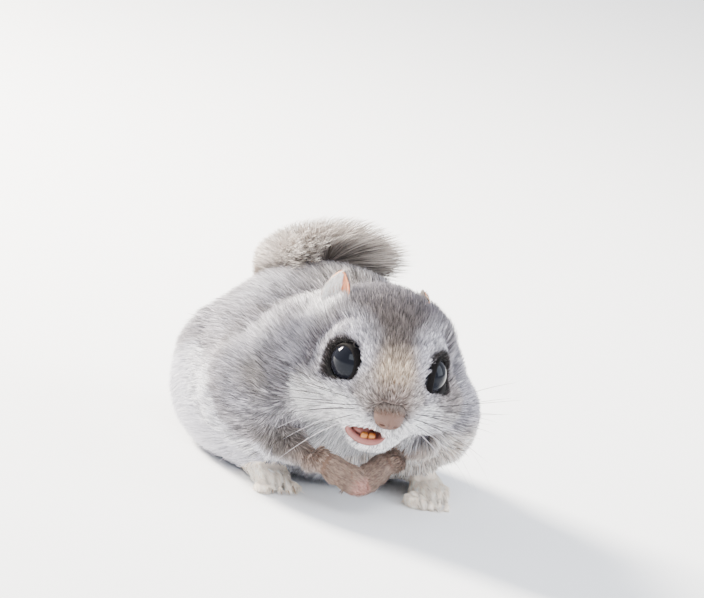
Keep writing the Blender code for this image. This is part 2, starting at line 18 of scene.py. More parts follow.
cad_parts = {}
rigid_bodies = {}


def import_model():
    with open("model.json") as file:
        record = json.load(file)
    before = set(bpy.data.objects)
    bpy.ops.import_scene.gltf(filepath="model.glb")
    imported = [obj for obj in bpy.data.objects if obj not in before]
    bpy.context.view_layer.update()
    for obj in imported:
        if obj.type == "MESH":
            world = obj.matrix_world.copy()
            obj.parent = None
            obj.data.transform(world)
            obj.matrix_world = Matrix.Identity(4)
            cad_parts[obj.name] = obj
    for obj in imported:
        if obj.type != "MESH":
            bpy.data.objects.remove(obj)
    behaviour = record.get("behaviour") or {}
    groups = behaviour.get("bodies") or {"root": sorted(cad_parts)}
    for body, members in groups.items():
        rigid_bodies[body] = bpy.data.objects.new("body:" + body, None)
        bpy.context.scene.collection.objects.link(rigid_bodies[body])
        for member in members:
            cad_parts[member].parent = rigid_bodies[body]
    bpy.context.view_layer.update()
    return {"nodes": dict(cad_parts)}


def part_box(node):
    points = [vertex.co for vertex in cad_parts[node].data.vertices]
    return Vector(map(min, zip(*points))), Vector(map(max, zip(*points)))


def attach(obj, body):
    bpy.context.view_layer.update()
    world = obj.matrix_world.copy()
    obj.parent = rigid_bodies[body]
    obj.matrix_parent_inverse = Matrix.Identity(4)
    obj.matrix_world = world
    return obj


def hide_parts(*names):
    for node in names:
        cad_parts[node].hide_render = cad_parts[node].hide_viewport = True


for thing in list(bpy.data.objects):
    bpy.data.objects.remove(thing)
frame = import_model()
CHANCE = np.random.default_rng(11)

# The head, hung on the point midway between the eyes
HEAD_AT = Vector((-4.6, -40.7, 40.9))
HEAD_YAW = -16
HEAD_PITCH = 14
EYE_AT = np.array((10, 1.6, 0.3))
EYE_AIMS = {1: (0.92, -0.38, 0.08), -1: (-0.83, -0.54, 0.08)}
EYE_RADIUS = 5.7
SIDES = (("left", 1), ("right", -1))

# The camera and the photograph's frame
VIEW_AZIMUTH = -28
VIEW_ELEVATION = 12
VIEW_ROLL = 12
VIEW_TARGET = Vector((5.92, 8.42, 48))
VIEW_DISTANCE = 1300
VIEW_LENS = 239.3
SENSOR = 36

# The skin
SEAM_GROWTH = 0.25
SKIN_NODES = [
    "head", "jaw", "neck", "torso", "patagium_left", "patagium_right", "haunch_left",
    "haunch_right", "foreleg_left", "foreleg_right", "hand_left", "hand_right", "foot_left",
    "foot_right",
]
TAIL_NODES = ["tail_root", "tail_middle", "tail_tip"]
OUTER_VOXEL = 0.7
SKIN_VOXEL = 0.5
UNWRAP_FACES = 6000
FLOOR_GAP = 0.3

# The tail, from its root over the back to its end
TAIL_AXIS = [
    (0, 41, 14), (1, 50, 17), (2, 53.5, 26), (3, 51, 36),
    (3.5, 45, 44.5), (3.5, 36, 51), (3.5, 25, 56), (3.5, 13, 60),
]
TAIL_ROLL = 3
TAIL_LENGTH = 100
TAIL_CORE_RADII = (3.4, 1.3)
TAIL_UNDERCOAT = 2.2
TAIL_FAN_ROOT = (-4, 1, -4)
TAIL_END_REACH = (1, 1, 0.2)
# How many points short of the end the core stops, and from which one the tail lies on the back,
# where the skin that is nearer to it than so much is its own
TAIL_CORE_SHORT = 3
TAIL_FREE_FROM = 8
TAIL_HOLD = 4.6

# The side of one blade's patch on the unwrapped skin
PATCH = 0.003


def eased(value, low, high):
    """How far the value has come from low to high, 0 to 1, slower near both."""
    share = np.clip((value - low) / (high - low), 0, 1)
    return share * share * (3 - 2 * share)


def lengths(vectors):
    return np.linalg.norm(vectors, axis=-1)


def unit(vectors):
    """Each row scaled to length one."""
    return vectors / np.maximum(lengths(vectors)[..., None], 1e-9)


def across_from(axes, vectors):
    """The part of each vector that is square to its own axis."""
    return vectors - (vectors * axes).sum(1, keepdims=True) * axes


def srgb(red, green, blue):
    """A colour as seen on a screen, 0 to 255, as the linear values that a shader takes."""
    share = np.array([red, green, blue]) / 255
    return np.where(share <= 0.04045, share / 12.92, ((share + 0.055) / 1.055) ** 2.4)


def drawn(values, target, share):
    """The values, drawn by each one's share towards the target."""
    return values + share[:, None] * (target - values)


def turned(degrees, axis):
    return Matrix.Rotation(math.radians(degrees), 4, axis)


HEAD = Matrix.Translation(HEAD_AT) @ turned(HEAD_YAW, "Z") @ turned(HEAD_PITCH, "X")
HEAD_TURN = np.array(HEAD.to_3x3())

# How far the solids lie from the animal's own frame, by the middle between their eyes
EYE_CORNERS = [Vector(corner) for name in ("eye_left", "eye_right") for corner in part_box(name)]
EYES_AT = sum(EYE_CORNERS, Vector()) / 4 * 1000
SHIFT = np.array(EYES_AT - HEAD @ Vector((0, *EYE_AT[1:])))


def to_scene(points):
    return (np.asarray(points) + SHIFT) / 1000


def in_head(points):
    """The points in the head's own frame."""
    return (points - np.array(HEAD_AT)) @ HEAD_TURN


def from_head(points):
    return np.asarray(points) @ HEAD_TURN.T + np.array(HEAD_AT)


def new_object(name, data):
    made = bpy.data.objects.new(name, data)
    bpy.context.scene.collection.objects.link(made)
    return made


def mesh_object(name, points, faces):
    """A new object from points and faces."""
    mesh = bpy.data.meshes.new(name)
    mesh.from_pydata(np.asarray(points).tolist(), [], faces)
    return new_object(name, mesh)


def object_from(shape, name):
    """A new object from a bmesh, which is freed."""
    mesh = bpy.data.meshes.new(name)
    shape.to_mesh(mesh)
    shape.free()
    return new_object(name, mesh)


def settle(obj):
    """Applies the object's modifiers."""
    bpy.context.view_layer.update()
    graph = bpy.context.evaluated_depsgraph_get()
    mesh = bpy.data.meshes.new_from_object(obj.evaluated_get(graph))
    obj.modifiers.clear()
    obj.data = mesh


def triples(collection, name, kind=float):
    """One attribute of a mesh's items, three values to each."""
    values = np.empty(3 * len(collection), dtype=kind)
    collection.foreach_get(name, values)
    return values.reshape(-1, 3)


def points_of(obj):
    return triples(obj.data.vertices, "co")


def normals_of(obj):
    return triples(obj.data.vertex_normals, "vector")


def set_points(obj, points):
    obj.data.vertices.foreach_set("co", np.asarray(points, dtype=float).ravel())
    obj.data.update()


def remesh(obj, voxel, rounds):
    """Makes the object one even closed surface and smooths it."""
    even = obj.modifiers.new("remesh", "REMESH")
    even.mode = "VOXEL"
    even.voxel_size = voxel
    smooth = obj.modifiers.new("smooth", "SMOOTH")
    smooth.factor = 0.5
    smooth.iterations = rounds
    settle(obj)


def solid_mesh(names, growth):
    """The named solids in one mesh, each swollen by so much, with the node that each face is of."""
    shape = bmesh.new()
    owners = []
    for index, name in enumerate(names):
        part = bmesh.new()
        part.from_mesh(frame["nodes"][name].data)
        bmesh.ops.remove_doubles(part, verts=part.verts, dist=1e-7)
        bmesh.ops.scale(part, vec=(1000, 1000, 1000), verts=part.verts)
        bmesh.ops.translate(part, vec=Vector(-SHIFT), verts=part.verts)
        part.normal_update()
        for vert in part.verts:
            vert.co += growth * vert.normal
        mesh = bpy.data.meshes.new(name)
        part.to_mesh(mesh)
        shape.from_mesh(mesh)
        owners += [index] * len(mesh.polygons)
        part.free()
        bpy.data.meshes.remove(mesh)
    return object_from(shape, "solids"), np.array(owners)


def tree_of(obj):
    return BVHTree.FromPolygons(
        [v.co for v in obj.data.vertices], [p.vertices for p in obj.data.polygons]
    )


def catmull(points, steps):
    """Points along the smooth curve through the given ones."""
    points = np.array(points)
    padded = np.vstack([2 * points[0] - points[1], points, 2 * points[-1] - points[-2]])
    t = np.arange(steps)[:, None] / steps
    found = []
    for a, b, c, d in zip(padded, padded[1:], padded[2:], padded[3:]):
        found.append(0.5 * (2 * b + (c - a) * t + (2 * a - 5 * b + 4 * c - d) * t**2
                            + (3 * b - a - 3 * c + d) * t**3))
    return np.vstack([*found, points[-1]])


def grid_faces(rows, columns, rows_meet=False, columns_meet=False):
    """The faces of a grid of points, row by row. Its last row or column may meet the first."""
    faces = []
    for row in range(rows if rows_meet else rows - 1):
        start, after = row * columns, (row + 1) % rows * columns
        for column in range(columns if columns_meet else columns - 1):
            beside = (column + 1) % columns
            faces.append((start + column, start + beside, after + beside, after + column))
    return faces


def tube(points, radii, sides=8, closed=False):
    """Points and faces of a round tube along a line of points."""
    points = np.array(points, dtype=float)
    radii = np.broadcast_to(radii, len(points))
    ahead = np.roll(points, -1, axis=0)
    behind = np.roll(points, 1, axis=0)
    if not closed:
        ahead[-1] = points[-1]
        behind[0] = points[0]
    along = unit(ahead - behind)
    across = np.cross(along[0], (0.3, 0.5, 0.8))
    angles = 2 * math.pi * np.arange(sides) / sides
    rings = []
    for k, direction in enumerate(along):
        across = unit(across - across.dot(direction) * direction)
        up = np.cross(direction, across)
        rings.append(points[k] + radii[k] * (
            np.outer(np.cos(angles), across) + np.outer(np.sin(angles), up)))
    rings = np.vstack(rings)
    faces = grid_faces(len(points), sides, rows_meet=closed, columns_meet=True)
    if not closed:
        faces.append(tuple(range(sides))[::-1])
        faces.append(tuple(range(len(rings) - sides, len(rings))))
    return rings, faces


def joined_tubes(name, tubes):
    points, faces = [], []
    for part, part_faces in tubes:
        start = sum(len(p) for p in points)
        points.append(part)
        faces += [tuple(start + index for index in face) for face in part_faces]
    return mesh_object(name, np.vstack(points), faces)


# The tail's own shape

TAIL_LINE = catmull(TAIL_AXIS, 4)
# How far each point of a tail hair, root to tip, is drawn from the dark TAIL_SHADE to TAIL_PALE: the
# dark roots are partly painted shade
TAIL_PALE_SHARES = np.array((0, 0.2, 0.65, 1))
TAIL_HAIR_HALF_WIDTH = 0.085
TAIL_DARK_SHARE = 0.16
TAIL_DARK_HAIR = 0.4


def tail_half_width(t):
    return 5.5 + 13 * eased(t, 0.32, 0.86)


def tail_half_depth(t):
    return 5 + 5.5 * eased(t, 0.5, 0.9)


def tail_axes(t):
    """The axis point and the tail's own directions, across and out, for each share t."""
    place = np.clip(t, 0, 1) * (len(TAIL_LINE) - 1)
    low = np.minimum(place.astype(int), len(TAIL_LINE) - 2)
    steps = unit(np.gradient(TAIL_LINE, axis=0))
    along = unit(drawn(steps[low], steps[low + 1], place - low))
    at = drawn(TAIL_LINE[low], TAIL_LINE[low + 1], place - low)
    at = at + along * TAIL_END_REACH * np.maximum(0, t - 1)[:, None] * TAIL_LENGTH
    roll = np.tan(np.radians(TAIL_ROLL * np.minimum(t, 1)))
    across = np.stack([np.ones_like(t), np.zeros_like(t), roll], axis=1)
    across = unit(across_from(along, across))
    return at, across, np.cross(along, across)


# Where the coat is deep and what colour it is

def blended(base, zones, points):
    """The base value at each point, drawn to each zone's value inside its ellipsoid in turn. A
    zone has its frame, its middle, radii, how soft its edge is and its value."""
    head = in_head(points)
    value = np.zeros((len(points), 1)) + base
    for where, centre, radii, softness, target in zones:
        local = head if where.startswith("head") else points
        sides = (1, -1) if where.endswith("both") else (1,)
        for side in sides:
            middle = np.array(centre) * (side, 1, 1)
            share = 1 - eased(lengths((local - middle) / radii), 1 - softness, 1 + softness)
            value = drawn(value, target, share)
    return value


COAT_DEPTH = 5.5
DEPTH_ZONES = [
    ("body both", (26, -26, 18), (14, 16, 16), 0.4, 3),
    ("body both", (33, -4, 20), (10, 26, 9), 0.5, 2.6),
    ("head", (0, 6, -2), (30, 26, 26), 0.3, 3.6),
    ("head", (0, -2, 3), (15, 20, 18), 0.4, 2.2),
    ("head", (0, -9, -8), (13, 14, 14), 0.3, 1.1),
    ("head both", (11, 0, 0.3), (9.5, 9.5, 9.5), 0.25, 0.7),
    ("head", (-3.8, -9, -14), (7, 9, 5), 0.25, 0.35),
    ("body", (-21.5, -10, 3), (7, 22, 8), 0.3, 0.9),
    ("body", (26, -14, 3), (8, 22, 8), 0.3, 0.9),
    ("body", (-12, -42, 12), (12, 9, 8), 0.2, 0.5),
    ("body", (-1, -39, 12), (10, 8, 9), 0.2, 0.5),
]

# The lower edge of the grey coat on each side, by height at each place along the body
EDGE_ALONG = (-40, -26, -21, -18, -14, -11, 5, 13, 21, 32, 44)
EDGE_HEIGHT = (14.5, 15.5, 15.7, 18.3, 22.6, 27.3, 28.6, 28.3, 26.5, 22, 15)
FLEECE_RISE = 9

GREY = srgb(133, 129, 134)
SILVER = srgb(163, 160, 168)
WHITE = srgb(248, 246, 249)
# The belly's and underside's white fur, dimmed and cooled towards blue as painted shade
BELLY = srgb(212, 211, 220)
FLEECE = srgb(232, 222, 214)
CREAM = srgb(240, 226, 212)
FOOT = srgb(252, 243, 232)
BUFF = srgb(190, 170, 149)
STREAK = srgb(118, 110, 106)
EYE_RING = srgb(34, 27, 27)
PALE_RING = srgb(194, 191, 199)
HAND = srgb(136, 115, 103)
PINK = srgb(176, 124, 116)
FINGER = srgb(184, 140, 128)
TAIL_PALE = srgb(228, 218, 210)
# The tail's dark core and hair roots: partly the hairs' dark bases, partly painted shade in the
# middle of the tail
TAIL_SHADE = srgb(86, 76, 70)

BODY_COLOURS = [
    ("body", (0, 4, 52), (24, 40, 22), 0.5, GREY),
    ("body", (-3, -6, 58), (14, 9, 6), 0.6, CREAM),
    ("body", (-24, 3, 50), (9, 9, 6), 0.7, BELLY),
    ("head both", (28, 12, 1), (6, 9, 9), 0.5, srgb(196, 194, 200)),
    ("head", (-19, 22, 8), (8, 8, 6), 0.5, WHITE),
    ("head both", (29, 7, -12), (4, 5, 6), 0.6, srgb(140, 134, 132)),
    ("head both", (25, -1, -22), (6, 6, 5), 0.6, srgb(132, 125, 122)),
    ("body", (-2, -32, 10), (15, 14, 14), 0.3, CREAM),
]
HEAD_COLOURS = [
    ("head", (0, 10, 10), (26, 20, 16), 0.3, srgb(116, 112, 119)),
    ("head", (0, 9, 14), (17, 15, 10), 0.6, srgb(88, 84, 92)),
    ("head both", (13, 12, -4), (14, 15, 9), 0.4, srgb(145, 142, 150)),
    ("head", (-1, 0, 10), (11, 10, 8), 0.8, srgb(96, 87, 84)),
    ("head", (0, -7, 0.5), (8.5, 9.5, 6), 0.5, BUFF),
    ("head both", (11.5, -0.5, 3.5), (7.6, 10, 8.5), 0.4, PALE_RING),
    ("head both", (5.5, -9, -3), (3.5, 6, 4.5), 0.6, srgb(170, 162, 160)),
    ("head both", (16, -6, -16), (20, 11.5, 11), 0.15, WHITE),
    ("head", (0, 0, -20), (16, 12, 10), 0.3, WHITE),
    ("head", (0, -12, -2.2), (4.5, 5.5, 3.6), 0.6, srgb(138, 126, 122)),
    # Grey on the left cheek alone: partly its grey-tan fur, partly painted shade on the side away
    # from the key lamp
    ("head", (20, 0, -6), (7, 8, 9), 0.6, srgb(146, 138, 138)),
    ("head", (-19, 16, 9), (6.5, 6.5, 6.5), 0.5, WHITE),
    ("head", (-3.8, -7, -14.6), (5, 8, 2.5), 0.15, PINK),
]
ARM_COLOURS = [
    ("body", (-24, -34, 17), (7, 8, 8), 0.5, STREAK),
    ("body", (16, -34, 19), (8, 8, 8), 0.5, FLEECE),
    ("body", (10, -36, 19), (8, 7, 6), 0.7, srgb(166, 150, 140)),
    ("body", (-24, -34, 8), (9, 9, 6), 0.4, BELLY),
    ("body", (-15, -39, 16), (10, 9, 8), 0.5, HAND),
    ("body", (4, -37, 16), (8, 7, 8), 0.5, HAND),
]
FINGERS_AT = (-7, -44.5, 8.5)
FINGERS_REACH = (6, 7, 5)
FINGERS_BESIDE = ((0.55, 0, -0.83), (-0.4, 0, -0.92))
FINGER_BREADTH = 2
# Painted shade in the gaps between the fingers: how much darker the hand is there
FINGER_GAP_SHADE = 0.5
# Painted shade: the haunches' coat is dimmed to this share of its colour, for the shade that they
# sit in
HAUNCH_SHADE = 0.88

# The dark ring round the eye and the arc behind it: their reach from the line that it looks along
RING_REACH = 5.9
RING_REAR = 0.8
RING_UPPER = 0.5
ARC_REACH = 11
ARC_STRENGTH = 0.45


def eye_polar(points, side):
    """Each point by the line that the eye looks along: how far out along it, how far off it, and
    its rearward and upper share."""
    aim = unit(np.array(EYE_AIMS[side]))
    rear = unit(np.array((0, 1, 0)) - aim[1] * aim)
    upper = np.cross(aim, rear) * side
    out = in_head(points) - EYE_AT * (side, 1, 1)
    flat = np.stack([out @ rear, out @ upper], axis=1)
    off = lengths(flat)
    return out @ aim, off, flat[:, 0] / off, flat[:, 1] / off


def eye_marks(points):
    """How far each point lies in the dark ring round an eye, and in the faint grey arc behind it."""
    ring, arc = np.zeros((2, len(points)))
    for _, side in SIDES:
        ahead, off, rear, upper = eye_polar(points, side)
        reach = RING_REACH + RING_REAR * rear + RING_UPPER * upper
        dark = (1 - eased(off, reach - 0.4, reach + 0.5)) * (ahead > -3)
        faint = np.exp(-((off - ARC_REACH) / 0.9) ** 2) * eased(rear - 0.4 * upper, 0.2, 0.7)
        ring, arc = np.maximum(ring, dark), np.maximum(arc, faint)
    return ring, arc


FOOT_AT = {"left": (24, -27, 0), "right": (-21.5, -23.5, 0)}
FOOT_TURN = {"left": -20, "right": -2}
TOE_ACROSS = (-4.2, -2.1, 0, 2.1, 4.2)
TOE_SPREAD = 1.12
CLEFT_HALF_WIDTH = 0.3
# Painted shade in the clefts between the toes: how much darker the foot is there
CLEFT_SHADE = 0.45


def foot_matrix(label):
    return Matrix.Translation(FOOT_AT[label]) @ turned(FOOT_TURN[label], "Z")


def cleft_share(points):
    """How far each point lies in a cleft between two toes."""
    share = np.zeros(len(points))
    for label, _ in SIDES:
        local = (points - FOOT_AT[label]) @ np.array(foot_matrix(label).to_3x3())
        for across in np.add(TOE_ACROSS[:-1], TOE_ACROSS[1:]) / 2:
            gap = np.exp(-((local[:, 0] / TOE_SPREAD - across) / CLEFT_HALF_WIDTH) ** 2)
            share = np.maximum(share, gap * (1 - eased(local[:, 1], 1, 5)))
    return share


def owned_by(owners, starts):
    """A column that says which points are on nodes whose names start so."""
    names = SKIN_NODES + TAIL_NODES
    return np.isin(owners, [i for i, name in enumerate(names) if name.startswith(starts)])[:, None]


def coat_colour(points, owners):
    """The coat's main colour at each point, by its place and the part that it is on."""
    colour = blended(SILVER, BODY_COLOURS, points)
    ripple = 0.7 * np.sin(0.9 * points[:, 1] + 0.4 * points[:, 2])
    rise = points[:, 2] - np.interp(points[:, 1], EDGE_ALONG, EDGE_HEIGHT) - ripple
    fleece = eased(points[:, 0], 4, 14) * (1 - eased(points[:, 1], -12, 2))
    rise -= FLEECE_RISE * fleece
    above = eased(rise, 0, 2) - eased(rise, 2, 9)
    colour = drawn(colour, STREAK, 0.4 * above * (1 - fleece))
    under = eased(-rise, -0.8, 0.8 + 4 * fleece)
    colour = drawn(colour, drawn(BELLY, FLEECE, fleece), under)
    tips = 1 - eased(lengths((points - FINGERS_AT) / FINGERS_REACH), 0.6, 1.1)
    hand = drawn(HAND, FINGER, tips)
    beside = np.where(owned_by(owners, "hand_left"), FINGERS_BESIDE[0], FINGERS_BESIDE[1])
    place = ((points - FINGERS_AT) * beside).sum(axis=1) / FINGER_BREADTH
    # Painted shade: the hand darkens in the gaps between its fingers, near their tips
    gap = eased(np.cos(2 * math.pi * place), 0.6, 1) * tips
    hand = hand * (1 - FINGER_GAP_SHADE * gap)[:, None]
    for starts, own in (
        ("foreleg", blended(colour, ARM_COLOURS, points)),
        ("hand", hand),
        # the foot's colour, with painted shade in the clefts between its toes
        ("foot", FOOT * (1 - CLEFT_SHADE * cleft_share(points))[:, None]),
        # the haunches, dimmed as painted shade
        ("haunch", HAUNCH_SHADE * colour),
        # the tail's core, dark partly as painted shade
        ("tail", TAIL_SHADE),
        (("head", "jaw"), blended(GREY, HEAD_COLOURS, points)),
    ):
        colour = np.where(owned_by(owners, starts), own, colour)
    ring, arc = eye_marks(points)
    return drawn(drawn(colour, STREAK, ARC_STRENGTH * arc), EYE_RING, ring)


# Where the hair of each shoulder turns down towards the arm, and the way that it takes
SHOULDER_LIES = (((-26, -34, 20), (0.4, -0.2, -1)), ((13, -35, 17), (-0.4, -0.2, -1)))
SHOULDER_REACH = 13


def lie_of(points, normals, owners):
    """The way that the hair points along the skin."""
    local = in_head(points)
    from_nose = local - (0, -15, -5)
    from_nose[:, 2] += 0.25 * np.abs(local[:, 0])
    head_way = unit(from_nose) @ HEAD_TURN.T
    body_way = np.tile((0, 1, -0.35), (len(points), 1))
    body_way[:, 0] += 0.012 * points[:, 0]
    body_way[:, 2] -= 0.9 * eased(30 - points[:, 2], 0, 20)
    share = 1 - eased(local[:, 1], 18, 46)[:, None]
    share = np.where(owned_by(owners, ("head", "jaw")), np.maximum(share, 0.4), share)
    way = share * head_way + (1 - share) * unit(body_way)
    for centre, target in SHOULDER_LIES:
        share = 1 - eased(lengths((points - centre) / SHOULDER_REACH), 0.35, 1.1)
        way = unit(drawn(way, unit(np.array(target)), share))
    for start, target, share in (
        ("foreleg_left", (-0.85, -0.25, -0.35), 1 - eased(points[:, 0], 6, 15)),
        ("foreleg_right", (0.82, -0.4, -0.3), eased(points[:, 0], -27, -17)),
        ("hand_left", (-0.75, -0.3, -0.5), 1),
        ("hand_right", (0.8, -0.4, -0.35), 1),
        ("foot", (0, -0.9, -0.45), 1),
    ):
        share = owned_by(owners, start)[:, 0] * share
        bent = drawn(way, target, share)
        bent[:, 2] -= 1.2 * share * (1 - share)
        way = unit(bent)
    return across_from(normals, way)


# Materials

def set_inputs(node, values):
    for name, value in values.items():
        node.inputs[name].default_value = value


def new_material(name, roughness, colour=None):
    material = bpy.data.materials.new(name)
    material.use_nodes = True
    shader = material.node_tree.nodes["Principled BSDF"]
    set_inputs(shader, {"Roughness": roughness})
    if colour is not None:
        set_inputs(shader, {"Base Color": (*colour, 1)})
    return material, shader


def mottled(name, roughness, grain, colours, relief=None):
    """A bare surface between two colours, by a noise, and its shader. grain is the noise's scale
    and detail, and relief the strength and depth of its bump."""
    material, shader = new_material(name, roughness)
    tree = material.node_tree
    noise = tree.nodes.new("ShaderNodeTexNoise")
    set_inputs(noise, {"Scale": grain[0], "Detail": grain[1]})
    ramp = tree.nodes.new("ShaderNodeValToRGB")
    for element, colour in zip(ramp.color_ramp.elements, colours):
        element.color = (*colour, 1)
    tree.links.new(noise.outputs["Fac"], ramp.inputs["Fac"])
    tree.links.new(ramp.outputs["Color"], shader.inputs["Base Color"])
    if relief:
        bump = tree.nodes.new("ShaderNodeBump")
        set_inputs(bump, {"Strength": relief[0], "Distance": relief[1]})
        tree.links.new(noise.outputs["Fac"], bump.inputs["Height"])
        tree.links.new(bump.outputs["Normal"], shader.inputs["Normal"])
    return material, shader


def coat_material(name):
    """Hair: the marked colour, with a soft sheen."""
    material, shader = new_material(name, 0.75)
    tree = material.node_tree
    set_inputs(shader, {"Specular IOR Level": 0.25, "Sheen Weight": 0.12, "Sheen Roughness": 0.5})
    colour = tree.nodes.new("ShaderNodeAttribute")
    colour.attribute_name = "coat"
    noise = tree.nodes.new("ShaderNodeTexNoise")
    set_inputs(noise, {"Scale": 300, "Detail": 2})
    spread = tree.nodes.new("ShaderNodeMapRange")
    set_inputs(spread, {"To Min": 0.82, "To Max": 1.18})
    tinted = tree.nodes.new("ShaderNodeVectorMath")
    tinted.operation = "MULTIPLY"
    tree.links.new(noise.outputs["Fac"], spread.inputs["Value"])
    tree.links.new(colour.outputs["Color"], tinted.inputs[0])
    tree.links.new(spread.outputs["Result"], tinted.inputs[1])
    tree.links.new(tinted.outputs["Vector"], shader.inputs["Base Color"])
    return material


def finish_piece(obj, material, replaced=()):
    set_points(obj, to_scene(points_of(obj)))
    obj.data.materials.clear()
    obj.data.materials.append(material)
    obj.data.shade_smooth()
    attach(obj, "root")
    if replaced:
        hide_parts(*replaced)


def set_colours(obj, colours):
    layer = obj.data.color_attributes.new("coat", "FLOAT_COLOR", "POINT")
    full = np.ones((len(colours), 4))
    full[:, :3] = colours
    layer.data.foreach_set("color", full.ravel())


# The skin

def build_skin():
    """One closed skin over all the flesh, a coat's depth inside the solids, and the outer tree."""
    flesh, _ = solid_mesh(SKIN_NODES, SEAM_GROWTH)
    remesh(flesh, OUTER_VOXEL, 6)
    outer_tree = tree_of(flesh)
    points = points_of(flesh)
    set_points(flesh, points - normals_of(flesh) * blended(COAT_DEPTH, DEPTH_ZONES, points))
    line = TAIL_LINE[:-TAIL_CORE_SHORT]
    core = joined_tubes("core", [tube(line, np.linspace(*TAIL_CORE_RADII, len(line)), sides=12)])
    shape = bmesh.new()
    shape.from_mesh(flesh.data)
    shape.from_mesh(core.data)
    shape.to_mesh(flesh.data)
    shape.free()
    bpy.data.objects.remove(core)
    flesh.name = "skin"
    remesh(flesh, SKIN_VOXEL, 4)
    points = points_of(flesh)
    points[:, 2] = np.maximum(points[:, 2], FLOOR_GAP)
    set_points(flesh, points)
    return flesh, outer_tree


class Surface:
    """The skin's points with all that the coat needs to know at each of them."""

    def __init__(self, skin, outer_tree):
        self.points = points_of(skin)
        self.normals = normals_of(skin)
        skin.data.calc_loop_triangles()
        self.triangles = triples(skin.data.loop_triangles, "vertices", np.int64)
        solids, face_owner = solid_mesh(SKIN_NODES + TAIL_NODES, 0)
        tree = tree_of(solids)
        found = [tree.find_nearest(Vector(p)) for p in self.points]
        self.owners = face_owner[[f[2] for f in found]]
        gap = lengths(self.points[:, None] - TAIL_LINE[None, TAIL_FREE_FROM:]).min(axis=1)
        self.owners[gap < TAIL_HOLD] = len(SKIN_NODES) + TAIL_NODES.index("tail_tip")
        self.depth = np.array([outer_tree.find_nearest(Vector(p))[3] for p in self.points])
        self.depth[self.owners >= len(SKIN_NODES)] = TAIL_UNDERCOAT
        bpy.data.objects.remove(solids)
        self.outer = outer_tree
        self.colour = coat_colour(self.points, self.owners)
        self.lie = lie_of(self.points, self.normals, self.owners)
        a, b, c = (self.points[self.triangles[:, k]] for k in range(3))
        self.area = 0.5 * lengths(np.cross(b - a, c - a))

    def sample(self, count, weight):
        """Places on the skin, spread by area and the weight at each point."""
        share = self.area * weight[self.triangles].mean(axis=1)
        picked = CHANCE.choice(len(share), count, p=share / share.sum())
        mix = CHANCE.dirichlet((1, 1, 1), count)
        corners = self.triangles[picked]
        found = {name: np.einsum("nk,nk...->n...", mix, getattr(self, name)[corners])
                 for name in ("points", "normals", "depth", "colour", "lie")}
        found["normals"] = unit(found["normals"])
        return found

    def owned(self, *starts):
        return owned_by(self.owners, starts)[:, 0]


def build_unwrap(skin):
    """A coarse copy of the skin, unwrapped, and its tree."""
    copy = new_object("unwrap", skin.data.copy())
    thin = copy.modifiers.new("thin", "DECIMATE")
    thin.ratio = UNWRAP_FACES / (2 * len(copy.data.polygons))
    settle(copy)
    bpy.context.view_layer.objects.active = copy
    bpy.ops.object.mode_set(mode="EDIT")
    bpy.ops.mesh.select_all(action="SELECT")
    bpy.ops.mesh.quads_convert_to_tris()
    bpy.ops.uv.smart_project(angle_limit=math.radians(66), island_margin=0.004)
    bpy.ops.object.mode_set(mode="OBJECT")
    layer = copy.data.uv_layers.active.data
    points = [v.co.copy() for v in copy.data.vertices]
    faces = [tuple(p.vertices) for p in copy.data.polygons]
    places = [[(*layer[i].uv, 0) for i in p.loop_indices] for p in copy.data.polygons]
    bpy.data.objects.remove(copy)
    return points, faces, places, BVHTree.FromPolygons(points, faces)


def places_on_unwrap(unwrap, points):
    """The place of each root on the unwrapped skin."""
    corners, faces, places, tree = unwrap
    found = np.empty((len(points), 2))
    for k, point in enumerate(points):
        near, _, face, _ = tree.find_nearest(Vector(point))
        a, b, c = (corners[i] for i in faces[face])
        u, v, _ = barycentric_transform(near, a, b, c, *(Vector(p) for p in places[face]))
        found[k] = (u, v)
    return np.clip(found, 0, 1 - PATCH)


# The coat

BLADE_WIDTHS = (0.7, 1, 0.6)
BLADE_PLACES = np.array([(0, 0), (1, 0), (0, 0.4), (1, 0.4), (0, 0.8), (1, 0.8), (0.5, 1)])
BLADE_FACES = [(0, 1, 3, 2), (2, 3, 5, 4), (4, 5, 6)]
BLADE_POINTS = len(BLADE_PLACES)
HAIRS_A_CLUMP = 6
HAIR_LOWEST = 0.05
HAIR_SLACK = 0.35
DARK_HAIR = 0.45

# From root to tip, the power of its colour that a hair takes: grey darkens at the root, white less
HAIR_POWERS = np.array((2.2, 1.35, 0.92, 0.92))


def build_blades(name, lines, sides, width, colours, roots, unwrap, material):
    """Thin tapered blades, each along four points, as one coat piece.

    lines is blades x 4 x 3, sides the blades' breadth direction, width about their half width, and
    colours blades x 4 x 3, from root to tip.
    """
    count = len(lines)
    widths = width * CHANCE.uniform(0.7, 1.2, count)
    points = np.empty((count, BLADE_POINTS, 3))
    for ring in range(3):
        half = sides * (widths * BLADE_WIDTHS[ring])[:, None]
        points[:, 2 * ring] = lines[:, ring] - half
        points[:, 2 * ring + 1] = lines[:, ring] + half
    points[:, 6] = lines[:, 3]
    points[:, :, 2] = np.maximum(points[:, :, 2], HAIR_LOWEST)
    faces = [
        tuple(BLADE_POINTS * k + i for i in face) for k in range(count) for face in BLADE_FACES
    ]
    made = mesh_object(name, points.reshape(-1, 3), faces)
    layer = made.data.uv_layers.new(name="OFBake")
    around = [i for face in BLADE_FACES for i in face]
    corners = places_on_unwrap(unwrap, roots)[:, None] + PATCH * BLADE_PLACES[around]
    layer.data.foreach_set("uv", corners.ravel())
    shades = colours[:, (0, 0, 1, 1, 2, 2, 3)].reshape(-1, 3)
    set_colours(made, np.clip(shades, 0, 1))
    finish_piece(made, material)


